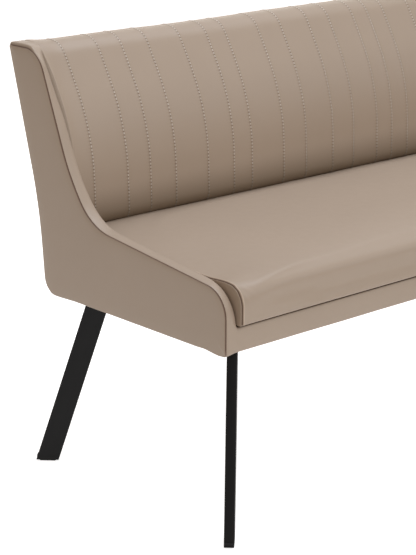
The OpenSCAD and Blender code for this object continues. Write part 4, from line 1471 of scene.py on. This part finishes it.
def made_leg(name, centre, toward):
    """One leg: a flat tube that leans outwards, with a plate on top of it."""
    tall = BODY_Z - GLIDE_T
    tube = block((TUBE_WIDTH / math.cos(TUBE_LEAN), TUBE_THICKNESS, tall), (BODY_Z + GLIDE_T) / 2)

    def at_foot(face):
        return face.normal.z < FACING_DOWN

    pick(tube, "polygons", at_foot)
    shaped(bpy.ops.transform.translate, value=(tall * math.tan(TUBE_LEAN), 0, 0))
    pick_upright(tube)
    shaped(bpy.ops.mesh.bevel, offset=sizes().tube_edge, segments=TUBE_SEGMENTS, affect="EDGES")
    pick(tube, "polygons", at_foot)
    shaped(bpy.ops.mesh.inset, thickness=TUBE_WALL)
    shaped(bpy.ops.mesh.extrude_region_move, TRANSFORM_OT_translate={"value": (0, 0, TUBE_OPENING)})
    plate = block((PLATE_W, PLATE_W, PLATE_T), BODY_Z + PLATE_T / 2)
    pick_upright(plate)
    shaped(bpy.ops.mesh.bevel, offset=PLATE_CORNER_R, segments=PLATE_SEGMENTS, affect="EDGES")
    tube.data.transform(Matrix.Rotation(math.atan2(toward[1], toward[0]), 4, "Z"))
    only(tube, plate)
    bpy.ops.object.join()
    tube.data.transform(Matrix.Translation((*centre, 0)))
    tube.name = tube.data.name = name
    outward(tube)
    only(tube)
    bpy.ops.object.shade_smooth_by_angle(angle=SMOOTH_ANGLE)
    return tube


def plate_centre(node, toward):
    """Centre of the plate of a leg, from the box of its solid: the foot stands out on its leaning side."""
    low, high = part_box(node)
    half = PLATE_W / 2
    return [high[k] - half if toward[k] < 0 else low[k] + half for k in (0, 1)]


# Studio

LENS = 117.77
SENSOR = 36
CAMERA_AT = (-3.12371, -2.20409, 1.45555)
CAMERA_DOWN = math.radians(16.63)
CAMERA_TURN = math.radians(-42.05)
FLOOR_SIZE = 24
# Light from all sides: its strength and its tone
AMBIENT = 0.425
AMBIENT_TONE = (1.0, 0.87, 0.76)
# Each lamp's name, place, size, power in watts and tone; all of them face the visible end of the bench
LAMPS = [
    ("key", (-0.6, -3.4, 3.4), (2.6, 2.0), 58, (0.975, 0.985, 1.0)),
    ("top", (0.2, 0.4, 4.2), (3.2, 3.2), 108, (0.78, 0.87, 1.0)),
    ("sheen", (2.6, 3.4, 2.0), (4.0, 1.6), 24, (1.0, 0.96, 0.91)),
    ("right", (2.8, -3.2, 2.6), (2.0, 2.0), 12, (0.35, 0.65, 1.0)),
]
LAMP_AIM = Vector((-0.5, 0.2, 0.5))


def place_camera():
    """The camera of the photograph."""
    lens = bpy.data.cameras.new("camera")
    lens.lens = LENS
    lens.sensor_width = SENSOR
    camera = bpy.data.objects.new("camera", lens)
    camera.location = CAMERA_AT
    camera.rotation_euler = (math.pi / 2 - CAMERA_DOWN, 0, CAMERA_TURN)
    bpy.context.scene.collection.objects.link(camera)
    bpy.context.scene.camera = camera


def place_floor():
    """The floor under the bench."""
    bpy.ops.object.select_all(action="DESELECT")
    bpy.ops.mesh.primitive_plane_add(size=FLOOR_SIZE, location=(0, 0, 0))
    floor = bpy.context.object
    floor.name = "floor"
    floor.data.materials.append(look_of("floor"))


def place_lamp(name, where, size, power, tone):
    """One soft lamp that the camera doesn't see."""
    light = bpy.data.lights.new(name, "AREA")
    light.shape = "RECTANGLE"
    light.size, light.size_y = size
    light.energy = power
    light.color = tone
    lamp = bpy.data.objects.new(name, light)
    lamp.location = where
    lamp.visible_camera = False
    lamp.rotation_euler = (LAMP_AIM - Vector(where)).to_track_quat("-Z", "Y").to_euler()
    bpy.context.scene.collection.objects.link(lamp)


def set_world():
    """Light from all sides, behind which the camera sees white."""
    world = bpy.data.worlds.new("studio")
    bpy.context.scene.world = world
    world.use_nodes = True
    tree = world.node_tree
    path = tree.nodes.new("ShaderNodeLightPath")
    seen = tree.nodes.new("ShaderNodeMath")
    seen.operation = "MAXIMUM"
    tree.links.new(path.outputs["Is Camera Ray"], seen.inputs[0])
    tree.links.new(path.outputs["Is Transmission Ray"], seen.inputs[1])
    light = tree.nodes.new("ShaderNodeMix")
    light.data_type = "RGBA"
    tree.links.new(seen.outputs[0], light.inputs[0])
    light.inputs[6].default_value = (*(AMBIENT * c for c in AMBIENT_TONE), 1)
    light.inputs[7].default_value = (1, 1, 1, 1)
    tree.links.new(light.outputs[2], tree.nodes["Background"].inputs["Color"])
    bpy.context.scene.view_settings.view_transform = "Standard"


# Operators

# The solid frame's parts by a word in their names, and the material of each
NODE_LOOKS = {"core": "board", "board": "board", "rails": "beech", "posts": "beech", "blocks": "beech",
              "glides": "plastic", "screws": "zinc", "bolts": "zinc", "nuts": "zinc",
              "webbing": "webbing", "dust_cover": "dust"}
CORNER_TAGS = ((LONG, "a"), (SHORT, "b"))
# Where the rear cover starts beside a cheek, and the places of the seat cushions in a side's own frame
REAR_START = 5.5 * MM
CUSHION_START = CHEEK_W + 1 * MM
CUSHION_FRONT = -8 * MM
CUSHION_REAR = 499 * MM
CORNER_CUSHION = 498.7 * MM


class BENCH_OT_cheeks(bpy.types.Operator):
    """Cover the two end cheeks: side, edge strip and lining"""

    bl_idname = "bench.cheeks"
    bl_label = "Cheek covers"

    def execute(self, context):
        for side in SIDES:
            cheek_panel(side)
            cheek_strip(side)
            cheek_lining(side)
        return {"FINISHED"}


class BENCH_OT_panels(bpy.types.Operator):
    """Cover the front rails and the rear of the back"""

    bl_idname = "bench.panels"
    bl_label = "Aprons and rear covers"

    def execute(self, context):
        for side, tag in CORNER_TAGS:
            apron_cover(side)
            rear_cover(f"{side.name}_rear_panel", f"{side.name}_rear_cover", side,
                       REAR_START, side.end, False)
            start = side.end + 2 * GAP
            rear_cover(f"corner_rear_panel_{tag}", f"corner_rear_cover_{tag}", side,
                       start, start + SEAT_DEPTH, True)
        return {"FINISHED"}


class BENCH_OT_back_pads(bpy.types.Operator):
    """Model the channelled pads of the back with their thread"""

    bl_idname = "bench.back_pads"
    bl_label = "Back pads"

    def execute(self, context):
        for side, tag in CORNER_TAGS:
            back_pad(f"{side.name}_back_cushion", side, CHEEK_W + GAP, side.end, False,
                     f"{side.name}_back_pad", f"{side.name}_back_foam")
            back_pad(f"corner_back_cushion_{tag}", side, side.end + 2 * GAP, side.end + SEAT_DEPTH, True,
                     f"corner_back_pad_{tag}", "corner_back_foams")
        return {"FINISHED"}


class BENCH_OT_seat_cushions(bpy.types.Operator):
    """Model the three boxed seat cushions and swell them with the cloth simulation"""

    bl_idname = "bench.seat_cushions"
    bl_label = "Seat cushions"

    def execute(self, context):
        for side in SIDES:
            seat_cushion(f"{side.name}_seat_pad", side, (CUSHION_START, CUSHION_FRONT),
                         (side.end, CUSHION_REAR), (True, False),
                         f"{side.name}_seat_cushion", f"{side.name}_seat_foam")
        start = LONG.end + 2 * GAP
        seat_cushion("corner_seat_pad", LONG, (start, 2 * GAP), (start + CORNER_CUSHION, CUSHION_REAR),
                     (False, False), "corner_seat_cushion", "corner_seat_foam")
        return {"FINISHED"}


class BENCH_OT_legs(bpy.types.Operator):
    """Model the eight leaning tube legs with their plates"""

    bl_idname = "bench.legs"
    bl_label = "Legs"

    def execute(self, context):
        for node, toward in LEG_TOWARD.items():
            leg = made_leg(node.replace("leg_", "tube_leg_"), plate_centre(node, toward), toward)
            settle(leg, look_of("coat"), "black_coat", node)
        return {"FINISHED"}


class BENCH_OT_underside(bpy.types.Operator):
    """Model the seat webbing and the dust cloth under the seat"""

    bl_idname = "bench.underside"
    bl_label = "Webbing and dust cloth"

    def execute(self, context):
        for name in ("long", "short", "corner"):
            webbing(name, name == "short")
            dust_cloth(name)
        return {"FINISHED"}


class BENCH_OT_finishes(bpy.types.Operator):
    """Give the parts of the frame their wood, plastic and steel"""

    bl_idname = "bench.finishes"
    bl_label = "Frame finishes"

    def execute(self, context):
        for name, node in NODES.items():
            kind = next((look for key, look in NODE_LOOKS.items() if key in name), None)
            if kind and not node.hide_render:
                node.data.materials.clear()
                node.data.materials.append(look_of(kind))
        return {"FINISHED"}


class BENCH_OT_studio(bpy.types.Operator):
    """Set the floor, the lamps, the world and the camera"""

    bl_idname = "bench.studio"
    bl_label = "Studio"

    def execute(self, context):
        place_camera()
        place_floor()
        for lamp in LAMPS:
            place_lamp(*lamp)
        set_world()
        return {"FINISHED"}


class BENCH_PT_panel(bpy.types.Panel):
    """The bench's pieces, sizes and colours"""

    bl_label = "Bench"
    bl_space_type = "VIEW_3D"
    bl_region_type = "UI"
    bl_category = "Bench"

    def draw(self, context):
        for made in OPERATORS:
            self.layout.operator(made.bl_idname)
        for group in (context.scene.bench_sizes, context.scene.bench_finish):
            box = self.layout.box()
            for key in group.__annotations__:
                box.prop(group, key)


OPERATORS = (BENCH_OT_studio, BENCH_OT_cheeks, BENCH_OT_panels, BENCH_OT_back_pads, BENCH_OT_seat_cushions,
             BENCH_OT_legs, BENCH_OT_underside, BENCH_OT_finishes)
CLASSES = (BenchSizes, BenchFinish, *OPERATORS, BENCH_PT_panel)


def register():
    for made in CLASSES:
        bpy.utils.register_class(made)
    bpy.types.Scene.bench_sizes = bpy.props.PointerProperty(type=BenchSizes)
    bpy.types.Scene.bench_finish = bpy.props.PointerProperty(type=BenchFinish)


def unregister():
    del bpy.types.Scene.bench_finish
    del bpy.types.Scene.bench_sizes
    for made in reversed(CLASSES):
        bpy.utils.unregister_class(made)


def main():
    register()
    bpy.ops.object.select_all(action="DESELECT")
    for made in OPERATORS:
        group, name = made.bl_idname.split(".")
        getattr(getattr(bpy.ops, group), name)()


if __name__ == "__main__":
    main()
